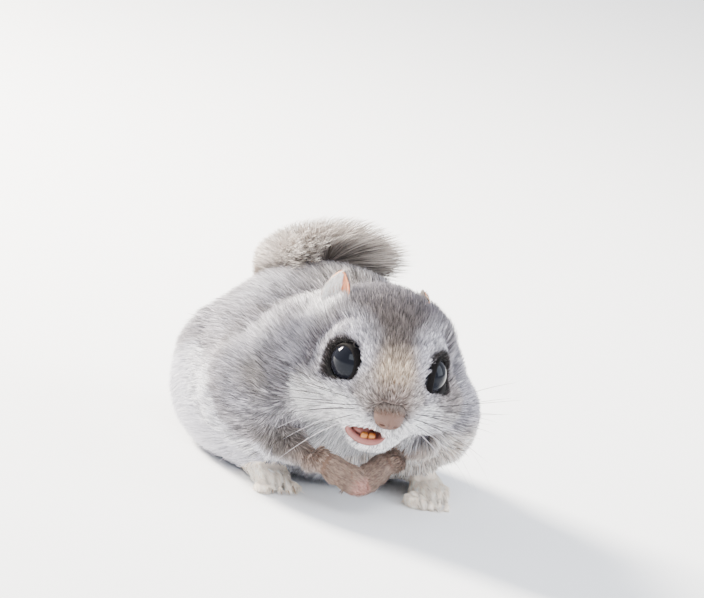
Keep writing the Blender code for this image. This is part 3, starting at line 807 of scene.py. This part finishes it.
def clumped(tips, points, pull):
    """Draws each tip towards the tip of the hair that leads its clump, the leader nearest."""
    leaders = np.arange(0, len(points), HAIRS_A_CLUMP)
    tree = KDTree(len(leaders))
    for leader in leaders:
        tree.insert(Vector(points[leader]), int(leader))
    tree.balance()
    nearest = np.array([tree.find(Vector(p))[1] for p in points])
    return tips + pull * (tips[nearest] - tips), nearest


def hugged(points, tree, slack):
    """Draws the points that stand out of the outer shape back to just above it."""
    for k, point in enumerate(points):
        near, normal, _, _ = tree.find_nearest(Vector(point))
        rise = (Vector(point) - near).dot(normal)
        if rise > slack[k]:
            points[k] -= (rise - slack[k]) * np.array(normal)
    return points


def grow_coat(name, spot, unwrap, material, slot, reach=1.5, lift=1, width=0.12, pull=0.4,
              mess=0.25, least=0.8, most=9, contrast=0.22, dark=0.2, streak=0.22, outer=None):
    """A coat of short hair: each blade rises from its root and bends over along the lie."""
    roots, normals, lie = spot["points"], spot["normals"], spot["lie"]
    count = len(roots)
    depth = np.clip(spot["depth"], least, most) * CHANCE.uniform(0.75, 1.08, count)
    flow = eased(lengths(lie), 0, 0.55)
    lie = unit(lie)
    across = np.cross(normals, lie)
    stray = CHANCE.normal(0, mess, (count, 2))
    way = unit(lie + stray[:, :1] * across)
    reach = reach * (0.3 + 0.7 * flow)
    tips = roots + (lift * depth)[:, None] * normals + (reach * depth)[:, None] * way
    tips += (0.25 * stray[:, 1] * depth)[:, None] * normals
    tips, leaders = clumped(tips, roots, pull)
    bend = roots + (0.75 * lift * depth)[:, None] * normals + (0.35 * reach * depth)[:, None] * way
    if outer is not None:
        tips = hugged(tips, outer, CHANCE.exponential(HAIR_SLACK, count))
    lines = np.stack([roots - 0.15 * normals, *(
        (1 - s) ** 2 * roots + 2 * s * (1 - s) * bend + s * s * tips for s in (0.4, 0.75, 1)
    )], axis=1)
    along = unit(tips - roots)
    facing = unit(normals + 0.5 * CHANCE.normal(0, 1, (count, 3)))
    sides = unit(np.cross(along, facing))
    brightness = CHANCE.normal(1, contrast, count)
    brightness = np.where(CHANCE.random(count) < dark, DARK_HAIR * brightness, brightness)
    brightness *= np.clip(1 + streak * CHANCE.normal(0, 1, count), 0.5, 1.7)[leaders]
    colours = spot["colour"][:, None, :] ** HAIR_POWERS[:, None] * brightness[:, None, None]
    build_blades(name, lines, sides, width, colours, roots, unwrap, material)


def tail_lines(start, reach, angle, spread, fan):
    """Four points along each hair of the tail, from its axis out to the outline."""
    rings = []
    for share in (0.1, 0.4, 0.75, 1):
        t = start + reach * share**1.3
        out = spread * np.sin(share * math.pi / 2) ** 0.9
        at, across, up = tail_axes(t)
        at = at + ((1 - share) * fan)[:, None] * TAIL_FAN_ROOT
        wide = (tail_half_width(t) * out * np.cos(angle))[:, None] * across
        deep = (tail_half_depth(t) * out * np.sin(angle))[:, None] * up
        rings.append(at + wide + deep)
    return np.stack(rings, axis=1)


def grow_tail(name, unwrap, material, count, low, high, swept=False):
    """The long hair of one stretch of the tail, or the hair swept back over its right side."""
    start = CHANCE.uniform(low, high, count)
    fan = eased(start, 0.75, 0.95)
    reach = CHANCE.uniform(0.04, 0.11, count)
    angle = CHANCE.uniform(0, 2 * math.pi, count)
    flatter = CHANCE.random(count) < 0.55 - 0.25 * fan
    angle = np.where(flatter, np.where(np.cos(angle) > 0, 0, math.pi), angle)
    angle += CHANCE.normal(0, 0.35, count)
    spread = CHANCE.uniform(0.5, 1.06, count)
    if swept:
        reach = CHANCE.uniform(-0.17, 0, count)
        angle = math.pi + CHANCE.normal(0.05, 0.4, count)
        spread = CHANCE.uniform(0.85, 1.08, count)
    lines = tail_lines(start, reach, angle, spread, fan)
    lines[:, 3], leaders = clumped(lines[:, 3], lines[:, 2], 0.15)
    along = unit(lines[:, 3] - lines[:, 0])
    sides = unit(np.cross(along, CHANCE.normal(0, 1, (count, 3))))
    brightness = CHANCE.normal(1, 0.16, count) * (1 + 0.16 * CHANCE.normal(0, 1, count))[leaders]
    # Painted light and shade: the hairs towards the tail's right are lighter, those towards its left
    # darker and those underneath much darker. The next factor darkens the upper hairs away from the
    # fan.
    brightness *= 1.12 - 0.16 * np.cos(angle) - 0.55 * eased(-np.sin(angle), 0, 0.6)
    brightness *= 1 - 0.5 * eased(np.sin(angle), -0.1, 0.8) * (1 - fan)
    brightness = np.where(CHANCE.random(count) < TAIL_DARK_SHARE, TAIL_DARK_HAIR * brightness, brightness)
    colours = drawn(TAIL_SHADE, TAIL_PALE, TAIL_PALE_SHARES) * brightness[:, None, None]
    build_blades(name, lines, sides, TAIL_HAIR_HALF_WIDTH, colours, tail_axes(start)[0], unwrap,
                 material)


# The face

CORNEA_BULGE = 0.04
LID_OPENING = 52.5
LID_PROFILE = [
    (-1.5, 0.15), (0, 0.35), (1.5, 0.5), (4, 0.5), (8, 0.4), (14, 0.2), (22, -0.2),
    (32, -0.9),
]
LID_STEPS = 64
LID_REACH = 4.9


def eye_matrix(side):
    turn = Vector(EYE_AIMS[side]).to_track_quat("Z", "Y").to_matrix().to_4x4()
    return HEAD @ Matrix.Translation(EYE_AT * (side, 1, 1)) @ turn


def placed(matrix, points):
    """Local points carried by the matrix."""
    turn = np.array(matrix.to_3x3())
    return np.asarray(points) @ turn.T + np.array(matrix.translation)


def eye_material():
    blacks = ((0.003, 0.003, 0.005), (0.009, 0.010, 0.014))
    material, shader = mottled("eye_wet_black", 0.03, (900, 2), blacks)
    set_inputs(shader, {"IOR": 1.3, "Specular IOR Level": 0.28,
                        "Specular Tint": (0.82, 0.9, 1, 1)})
    return material


def build_eye(label, side, material):
    """The eyeball, with the cornea's slight bulge towards the way that it looks."""
    shape = bmesh.new()
    bmesh.ops.create_uvsphere(shape, u_segments=64, v_segments=40, radius=EYE_RADIUS)
    made = object_from(shape, f"eyeball_{label}")
    points = points_of(made)
    front = eased(points[:, 2] / EYE_RADIUS, 0.3, 1)
    points *= (1 + CORNEA_BULGE * front)[:, None]
    set_points(made, placed(eye_matrix(side), points))
    finish_piece(made, material, [f"eye_{label}"])


def build_lids(label, side, material):
    """The dark rim of the lids: it lies on the eyeball and runs out under the coat."""
    widen, rise = np.array(LID_PROFILE).T
    turn = (2 * math.pi * np.arange(LID_STEPS) / LID_STEPS)[:, None]
    angle = np.radians(LID_OPENING - 1.5 * np.cos(2 * turn) + widen)
    radius = EYE_RADIUS + rise
    out = radius * np.sin(angle)
    rim = np.stack([out * np.cos(turn), out * np.sin(turn), radius * np.cos(angle)], axis=-1)
    points = placed(eye_matrix(side), rim.reshape(-1, 3))
    grid = grid_faces(LID_STEPS, len(LID_PROFILE), rows_meet=True)
    made = mesh_object(f"lids_{label}", points, [(a, d, c, b) for a, b, c, d in grid])
    finish_piece(made, material)


NOSE_AT = (0, -13.2, -6.4)
NOSE_RADII = np.array((4.1, 3.6, 3.7))


def build_nose():
    """The bare tip of the muzzle: two soft lobes, a groove between them and the nostrils."""
    shape = bmesh.new()
    bmesh.ops.create_icosphere(shape, subdivisions=6, radius=1)
    made = object_from(shape, "nose_skin")
    ball = points_of(made)
    front = eased(-ball[:, 1], 0.1, 0.9)
    groove = np.exp(-(ball[:, 0] / 0.1) ** 2) * eased(-ball[:, 2], -0.5, 0.3) * front
    scale = 1 - 0.07 * groove
    for side in (-1, 1):
        pit = ball - (side * 0.46, -0.72, -0.42)
        pit[:, 0] += side * 0.5 * pit[:, 2]
        reach = lengths(pit / (0.26, 0.5, 0.15))
        scale -= 0.34 * (1 - eased(reach, 0.2, 1))
        scale += 0.04 * np.exp(-((reach - 1.35) / 0.4) ** 2)
    set_points(made, from_head(NOSE_AT + ball * NOSE_RADII * scale[:, None]))
    browns = (srgb(74, 51, 42), srgb(112, 82, 69))
    material, shader = mottled("nose_skin", 0.5, (2600, 4), browns, (0.5, 0.0002))
    set_inputs(shader, {"Subsurface Weight": 0.2, "Subsurface Radius": (0.8, 0.35, 0.2),
                        "Subsurface Scale": 0.001})
    points, normals = points_of(made), normals_of(made)
    finish_piece(made, material, ["nose"])
    return points, normals


def nose_spots(points, normals, count):
    """Places on the nose's upper side, where its short hair is rooted."""
    ball = (in_head(points) - NOSE_AT) / NOSE_RADII
    share = eased(ball[:, 2] + 0.45 * ball[:, 1], -0.2, 0.6)
    picked = CHANCE.choice(len(points), count, p=share / share.sum())
    normals, share = normals[picked], share[picked]
    lie = np.tile(HEAD_TURN @ (0, 1, 0.2), (count, 1))
    lie = unit(across_from(normals, lie))
    colour = drawn(srgb(112, 88, 76), srgb(126, 114, 108), share)
    return {"points": points[picked], "normals": normals, "lie": lie,
            "depth": 0.25 + 0.45 * share, "colour": colour}


MOUTH_AT = (-3.8, -8, -14)
MOUTH_HALF = (5, 2.75)
LIP_STEPS = 48


def on_skin(skin_tree, start, way):
    """Where the line from start along way meets the skin, in the head's frame."""
    hit = skin_tree.ray_cast(Vector(from_head(start)), Vector(HEAD_TURN @ way))[0]
    return in_head(np.array(hit))


def build_lips(skin_tree, material):
    """A soft roll round the opening of the mouth, thicker below, laid on the skin."""
    turn = 2 * math.pi * np.arange(LIP_STEPS) / LIP_STEPS
    across = MOUTH_AT[0] + MOUTH_HALF[0] * np.cos(turn)
    height = MOUTH_AT[2] + MOUTH_HALF[1] * np.sin(turn)
    starts = np.stack([across, np.full(LIP_STEPS, -40), height], axis=1)
    line = np.array([on_skin(skin_tree, start, (0, 1, 0)) for start in starts])
    for _ in range(6):
        line[:, 1] = (np.roll(line[:, 1], 1) + 2 * line[:, 1] + np.roll(line[:, 1], -1)) / 4
    radii = 0.3 + 0.7 * eased(-np.sin(turn) - 0.4 * np.cos(turn), -0.3, 0.9)
    made = joined_tubes("lips", [tube(from_head(line), radii, sides=12, closed=True)])
    finish_piece(made, material)


# Each pair by the middle of its root, bend and edge in the head's frame, and the shape of one
INCISORS = [
    [(-0.4, -6, -10.2), (-0.4, -8.8, -11.3), (-0.4, -9.4, -13.2)],
    [(-3.2, -4, -17.4), (-3.2, -8.4, -17), (-3.2, -9.7, -14.6)],
]
INCISOR_RADII = (1, 0.62, 0.9)
INCISOR_OFF_MIDDLE = 1.04
INCISOR_SQUARING = 0.7


def build_teeth():
    """Two pairs of orange incisors: flat in front, close together and cut off like chisels."""
    tubes = []
    sides = 16
    for middle in INCISORS:
        line = catmull(middle, 5)
        radii = np.interp(np.linspace(0, 1, len(line)), (0, 0.8, 1), (1, 1, 0.8))
        points, faces = tube(line, radii, sides)
        centres = np.repeat(line, sides, axis=0)
        out = points - centres
        shaped = centres + np.sign(out) * np.abs(out) ** INCISOR_SQUARING * INCISOR_RADII
        for side in (-1, 1):
            tubes.append((from_head(shaped + (side * INCISOR_OFF_MIDDLE, 0, 0)), faces))
    made = joined_tubes("incisors", tubes)
    oranges = (srgb(132, 74, 30), srgb(192, 124, 60))
    enamel, _ = mottled("enamel", 0.3, (1500, 4), oranges, (0.15, 0.0001))
    finish_piece(made, enamel)


TONGUE_AT = (-4.8, -4.8, -14.6)
TONGUE_RADII = (3.6, 4, 1.7)


def build_tongue(material):
    shape = bmesh.new()
    bmesh.ops.create_uvsphere(shape, u_segments=32, v_segments=20, radius=1)
    made = object_from(shape, "tongue_soft")
    ball = points_of(made)
    ball[:, 2] -= 0.25 * np.exp(-(ball[:, 0] / 0.25) ** 2)
    set_points(made, from_head(TONGUE_AT + ball * TONGUE_RADII))
    finish_piece(made, material, ["tongue"])


def moist_material():
    pinks = (srgb(104, 56, 52), srgb(158, 100, 93))
    return mottled("moist_pink", 0.32, (1200, 4), pinks, (0.3, 0.0002))[0]


# The ears

EAR_AT = {"left": (11, 18.9, 9.9), "right": (-14.5, 19.5, 6.5)}
EAR_AXIS = {"left": (0.05, 0.98, -0.1), "right": (0, 0.32, 0.95)}
EAR_FACING = {"left": (0.85, 0, 0.5), "right": (-0.75, -0.5, 0.4)}
EAR_LENGTH = 11.5
EAR_HALF_WIDTH = 4.8
EAR_CUP = 2.4
EAR_WALL = 0.45
# The hair of each ear, inner and outer: its grey and white, lightened on the right ear as painted
# light and darkened on the left ear as painted shade
EAR_LIT_AND_SHADED_TONES = {"left": (srgb(112, 102, 96), srgb(104, 96, 92)),
             "right": (srgb(254, 251, 248), srgb(176, 168, 166))}


def ear_matrix(label):
    up = Vector(EAR_AXIS[label]).normalized()
    facing = Vector(EAR_FACING[label])
    front = (facing - facing.dot(up) * up).normalized()
    turn = Matrix((-up.cross(front), -front, up)).transposed().to_4x4()
    return HEAD @ Matrix.Translation(EAR_AT[label]) @ turn


def ear_point(s, a):
    """A point of the pinna, s from its root to its tip and a from edge to edge, -1 to 1."""
    half = EAR_HALF_WIDTH * (0.72 + 0.28 * np.sin(math.pi * s)) * (1 - s**3.2) ** 0.6
    x = half * a
    y = EAR_CUP * (1 - a**2) * (1 - 0.45 * s) - 1.2 * (1 - s) * a**2
    z = EAR_LENGTH * (s - 0.12)
    return np.stack([x, y, z], axis=-1)


def build_ear(label, material):
    """A thin pinna, rounded to a soft point, open towards its facing."""
    rows, columns = 28, 20
    s, a = np.meshgrid(np.linspace(0, 0.999, rows), np.linspace(-1, 1, columns), indexing="ij")
    points = placed(ear_matrix(label), ear_point(s.ravel(), a.ravel()))
    made = mesh_object(f"pinna_{label}", points, grid_faces(rows, columns))
    wall = made.modifiers.new("wall", "SOLIDIFY")
    wall.thickness = EAR_WALL
    wall.offset = 0
    settle(made)
    finish_piece(made, material, [f"ear_{label}"])


def ear_spots(label, count, inner):
    """Places on the inner or outer side of a pinna, where its hair is rooted."""
    s = CHANCE.uniform(0, 0.97, count) ** 1.2
    a = CHANCE.uniform(-1, 1, count)
    rim = CHANCE.random(count) < 0.25
    a = np.where(rim, np.sign(a) * (1 - 0.12 * np.abs(a)), a)
    if inner and label == "right":
        a = np.where(CHANCE.random(count) < 0.3, CHANCE.uniform(0.85, 1, count),
                     CHANCE.uniform(0.1, 1, count))
    step = 0.01
    matrix = ear_matrix(label)
    points = placed(matrix, ear_point(s, a))
    up = unit(placed(matrix, ear_point(s + step, a)) - points)
    across = unit(placed(matrix, ear_point(s, a + step)) - points)
    normals = np.cross(across, up) * (-1 if inner else 1)
    facing = np.array(matrix.to_3x3()) @ (0, -1 if inner else 1, 0)
    normals *= np.sign(normals @ facing)[:, None]
    # The ear's tone, with its painted light on the right ear and painted shade on the left
    tone = EAR_LIT_AND_SHADED_TONES[label][0 if inner else 1]
    return {"points": points + 0.5 * EAR_WALL * normals, "normals": normals, "lie": up,
            "depth": np.full(count, 0.75), "colour": np.tile(tone, (count, 1))}


def ear_material():
    pinks = (srgb(222, 128, 88), srgb(246, 172, 132))
    material, shader = mottled("ear_skin", 0.6, (1500, 4), pinks, (0.3, 0.0002))
    set_inputs(shader, {"Subsurface Weight": 0.6, "Subsurface Radius": (1, 0.35, 0.15),
                        "Subsurface Scale": 0.002})
    return material


# Claws and whiskers

# Along a foot's frame: where each claw starts and ends, how high, and how thick it is there
CLAW_PLACES = (-0.4, -4)
CLAW_HEIGHTS = (2, 0.5)
CLAW_RADII = (0.42, 0.06)
CLAW_ARCH = 0.35
TOE_CURVE = 0.12


def build_claws(material):
    tubes = []
    for label, _ in SIDES:
        for across in TOE_ACROSS:
            front = TOE_CURVE * across**2
            spread = TOE_SPREAD * across
            root = np.array((spread, front + CLAW_PLACES[0], CLAW_HEIGHTS[0]))
            tip = np.array((1.04 * spread, front + CLAW_PLACES[1], CLAW_HEIGHTS[1]))
            line = catmull([root, (root + tip) / 2 + (0, 0, CLAW_ARCH), tip], 4)
            radii = np.linspace(*CLAW_RADII, len(line))
            tubes.append(tube(placed(foot_matrix(label), line), radii))
    made = joined_tubes("claws", tubes)
    finish_piece(made, material)


# The whiskers of one pad: rows from the top down, each from the front to the rear
WHISKER_ROWS = 4
WHISKERS_A_ROW = 4
WHISKER_AT = (-9.5, -6.2)
WHISKER_STEPS = (2.3, -1.5)
WHISKER_LENGTH = 18
WHISKER_GAIN = 5
WHISKER_POINTS = 10
WHISKER_TIP = 0.02
WHISKERS_WITHIN = 41.5


def whisker(skin_tree, side, row, place):
    """One whisker, as a tube: the lowest row is thinner, longer and hangs more."""
    lowest = row == WHISKER_ROWS - 1
    y = WHISKER_AT[0] + WHISKER_STEPS[0] * place + CHANCE.uniform(-0.3, 0.3)
    z = WHISKER_AT[1] + WHISKER_STEPS[1] * row + CHANCE.uniform(-0.3, 0.3)
    root = on_skin(skin_tree, (side * 30, y, z), (-side, 0, 0))
    length = (WHISKER_LENGTH + WHISKER_GAIN * place) * (1.15 if lowest else 1)
    length += CHANCE.uniform(-2, 3)
    way = unit(np.array([side, -0.15 + 0.28 * place, 0.12 - 0.2 * row]))
    way = unit(way + CHANCE.normal(0, 0.06, 3))
    fall = CHANCE.uniform(0.05, 0.25) + (0.3 if lowest else 0)
    droop = np.array([0, 0.12 * length, -fall * length])
    shares = np.linspace(0, 1, WHISKER_POINTS)[:, None]
    line = root - 0.4 * way + shares * length * way + shares**2 * droop
    shrink = min(1, WHISKERS_WITHIN / np.abs(from_head(line)[:, 0]).max())
    line = line[0] * (1 - shrink) + line * shrink
    radii = np.linspace(0.09 if lowest else 0.12, WHISKER_TIP, WHISKER_POINTS)
    return tube(from_head(line), radii, sides=4)


def build_whiskers(skin_tree, dark, pale):
    """The whiskers of both pads, with the lowest row of each as a pale piece of its own."""
    upper, lowest = [], []
    for _, side in SIDES:
        for row in range(WHISKER_ROWS):
            tubes = [whisker(skin_tree, side, row, place) for place in range(WHISKERS_A_ROW)]
            (lowest if row == WHISKER_ROWS - 1 else upper).extend(tubes)
    finish_piece(joined_tubes("whiskers", upper), dark)
    finish_piece(joined_tubes("whiskers_pale", lowest), pale)


# The stage

def build_stage():
    """A plain pale floor."""
    half = 2
    corners = [(x, y, 0) for x in (-half, half) for y in (-half, half)]
    floor = mesh_object("floor", corners, [(0, 2, 3, 1)])
    floor.data.materials.append(new_material("floor", 0.8, srgb(247, 249, 252))[0])


# Each lamp's name, place, power, size and colour, and the place that all of them aim at
LAMPS = [
    ("key", (-0.45, -0.75, 0.75), 10, 0.6, (1, 0.985, 0.96)),
    ("rim", (-0.45, 0.75, 0.55), 80, 0.25, (1, 0.92, 0.8)),
    ("fill", (0.8, -0.45, 0.45), 11, 0.7, (0.93, 0.96, 1)),
]
LAMPS_AIM = Vector((0, 0, 0.035))


def build_lights():
    for name, at, power, size, colour in LAMPS:
        data = bpy.data.lights.new(name, "AREA")
        data.energy, data.size, data.color = power, size, colour
        light = new_object(name, data)
        light.location = at
        light.rotation_euler = (LAMPS_AIM - Vector(at)).to_track_quat("-Z", "Y").to_euler()
    world = bpy.data.worlds.new("studio")
    world.use_nodes = True
    background = world.node_tree.nodes["Background"]
    set_inputs(background, {"Color": (0.86, 0.9, 0.98, 1), "Strength": 1.38})
    bpy.context.scene.world = world


def build_camera():
    a, e, r = np.radians((VIEW_AZIMUTH, VIEW_ELEVATION, VIEW_ROLL))
    back = Vector((math.sin(a) * math.cos(e), -math.cos(a) * math.cos(e), math.sin(e)))
    right = Vector((math.cos(a), math.sin(a), 0))
    up = back.cross(right)
    rolled_right = right * math.cos(r) + up * math.sin(r)
    rolled_up = up * math.cos(r) - right * math.sin(r)
    data = bpy.data.cameras.new("camera")
    data.sensor_width = SENSOR
    data.lens = VIEW_LENS
    data.clip_start, data.clip_end = 0.05, 10
    camera = new_object("camera", data)
    at = Vector(to_scene(VIEW_TARGET + back * VIEW_DISTANCE))
    camera.matrix_world = (
        Matrix.Translation(at) @ Matrix((rolled_right, rolled_up, back)).transposed().to_4x4()
    )
    bpy.context.scene.camera = camera


def bare_of_coat(points):
    """One where the coat grows, and none on the eyeballs, the nose and the mouth."""
    local = in_head(points)
    grows = np.ones(len(points))
    for _, side in SIDES:
        ahead, off, _, _ = eye_polar(points, side)
        grows *= (off > LID_REACH) | (ahead < -3)
    grows *= lengths((local - MOUTH_AT - (0, 0, -0.5)) / (5.3, 9, 2.9)) > 1
    grows *= lengths((local - NOSE_AT) / (NOSE_RADII + 0.1)) > 1
    return grows


def build_coats(surface, unwrap, hair):
    """All the coat pieces of the skin, each with its share of the hair."""
    grows = bare_of_coat(surface.points)
    along = surface.points[:, 1]
    ahead = in_head(surface.points)[:, 1]
    head = surface.owned("head", "jaw") * grows
    denser = 1 + eased(-ahead, -14, 2)

    def grow(name, slot, count, weight, **style):
        spots = surface.sample(count, weight)
        grow_coat(name, spots, unwrap, hair, slot, outer=surface.outer, **style)

    face = {"reach": 1.8, "width": 0.08, "mess": 0.2, "lift": 0.75, "least": 0.9, "contrast": 0.28,
            "streak": 0.32}
    grow("coat_face", "coat", 39000, head * denser * (ahead <= 4), **face)
    grow("coat_crown", "coat", 34000, head * denser * (ahead > 4), **face)
    body = {"reach": 1.8, "width": 0.11, "streak": 0.42, "contrast": 0.3, "dark": 0.22}
    grow("coat_neck", "coat", 32000, grows * surface.owned("neck"), **body)
    torso = surface.owned("torso") * (surface.points[:, 2] > 1.5)
    grow("coat_back", "coat", 28000, torso * (along <= 12), **body)
    grow("coat_rump", "coat", 18000, torso * (along > 12), **body)
    grow("coat_flanks", "coat", 29000, surface.owned("patagium"), **{**body, "reach": 2.1})
    grow("coat_haunches", "haunch", 24000, surface.owned("haunch"), width=0.13,
         streak=0.05, contrast=0.1, dark=0)
    grow("coat_forelegs", "coat", 15000, surface.owned("foreleg"), reach=2.4, width=0.08,
         mess=0.18, lift=0.6, most=1.6, streak=0.3, contrast=0.26)
    grow("coat_hands", "hand", 12000, surface.owned("hand"), reach=4.4, lift=0.3, width=0.055,
         mess=0.12, pull=0.2, least=0.5, most=0.75, dark=0.12, contrast=0.18, streak=0.14)
    grow("coat_feet", "foot", 12000, surface.owned("foot"), reach=4, lift=0.4, width=0.06,
         mess=0.15, pull=0.5, least=0.5, most=0.9, streak=0.1, contrast=0.12, dark=0)
    grow_tail("coat_tail_0", unwrap, hair, 18000, 0.02, 0.6)
    grow_tail("coat_tail_1", unwrap, hair, 23000, 0.6, 0.99)
    grow_tail("coat_tail_2", unwrap, hair, 6000, 0.86, 0.99, swept=True)


def main():
    build_camera()
    build_stage()
    build_lights()
    skin, outer_tree = build_skin()
    surface = Surface(skin, outer_tree)
    unwrap = build_unwrap(skin)
    skin_tree = tree_of(skin)
    hair = coat_material("coat_hair")
    build_coats(surface, unwrap, hair)
    eye = eye_material()
    ear = ear_material()
    lid, shader = new_material("lid_skin", 0.8, srgb(13, 11, 12))
    set_inputs(shader, {"Specular IOR Level": 0.1})
    for label, side in SIDES:
        build_eye(label, side, eye)
        build_lids(label, side, lid)
        build_ear(label, ear)
        for inner in (True, False):
            name = f"coat_ear_{label}_{'inner' if inner else 'outer'}"
            grow_coat(name, ear_spots(label, 1500, inner), unwrap, hair, "ear", width=0.07,
                      reach=3, lift=0.7, least=0.4, dark=0.05)
    nose = build_nose()
    grow_coat("coat_nose", nose_spots(*nose, 3000), unwrap, hair, "nose", width=0.05, reach=2.4,
              lift=0.6, least=0.2, dark=0.1)
    moist = moist_material()
    build_lips(skin_tree, moist)
    build_tongue(moist)
    build_teeth()
    build_claws(new_material("claw_horn", 0.35, srgb(176, 150, 130))[0])
    dark, _ = new_material("whisker", 0.4, srgb(40, 36, 36))
    pale, _ = new_material("whisker_pale", 0.4, srgb(206, 200, 206))
    build_whiskers(skin_tree, dark, pale)
    set_colours(skin, surface.colour**1.4)
    finish_piece(skin, coat_material("skin"), SKIN_NODES + TAIL_NODES)


main()
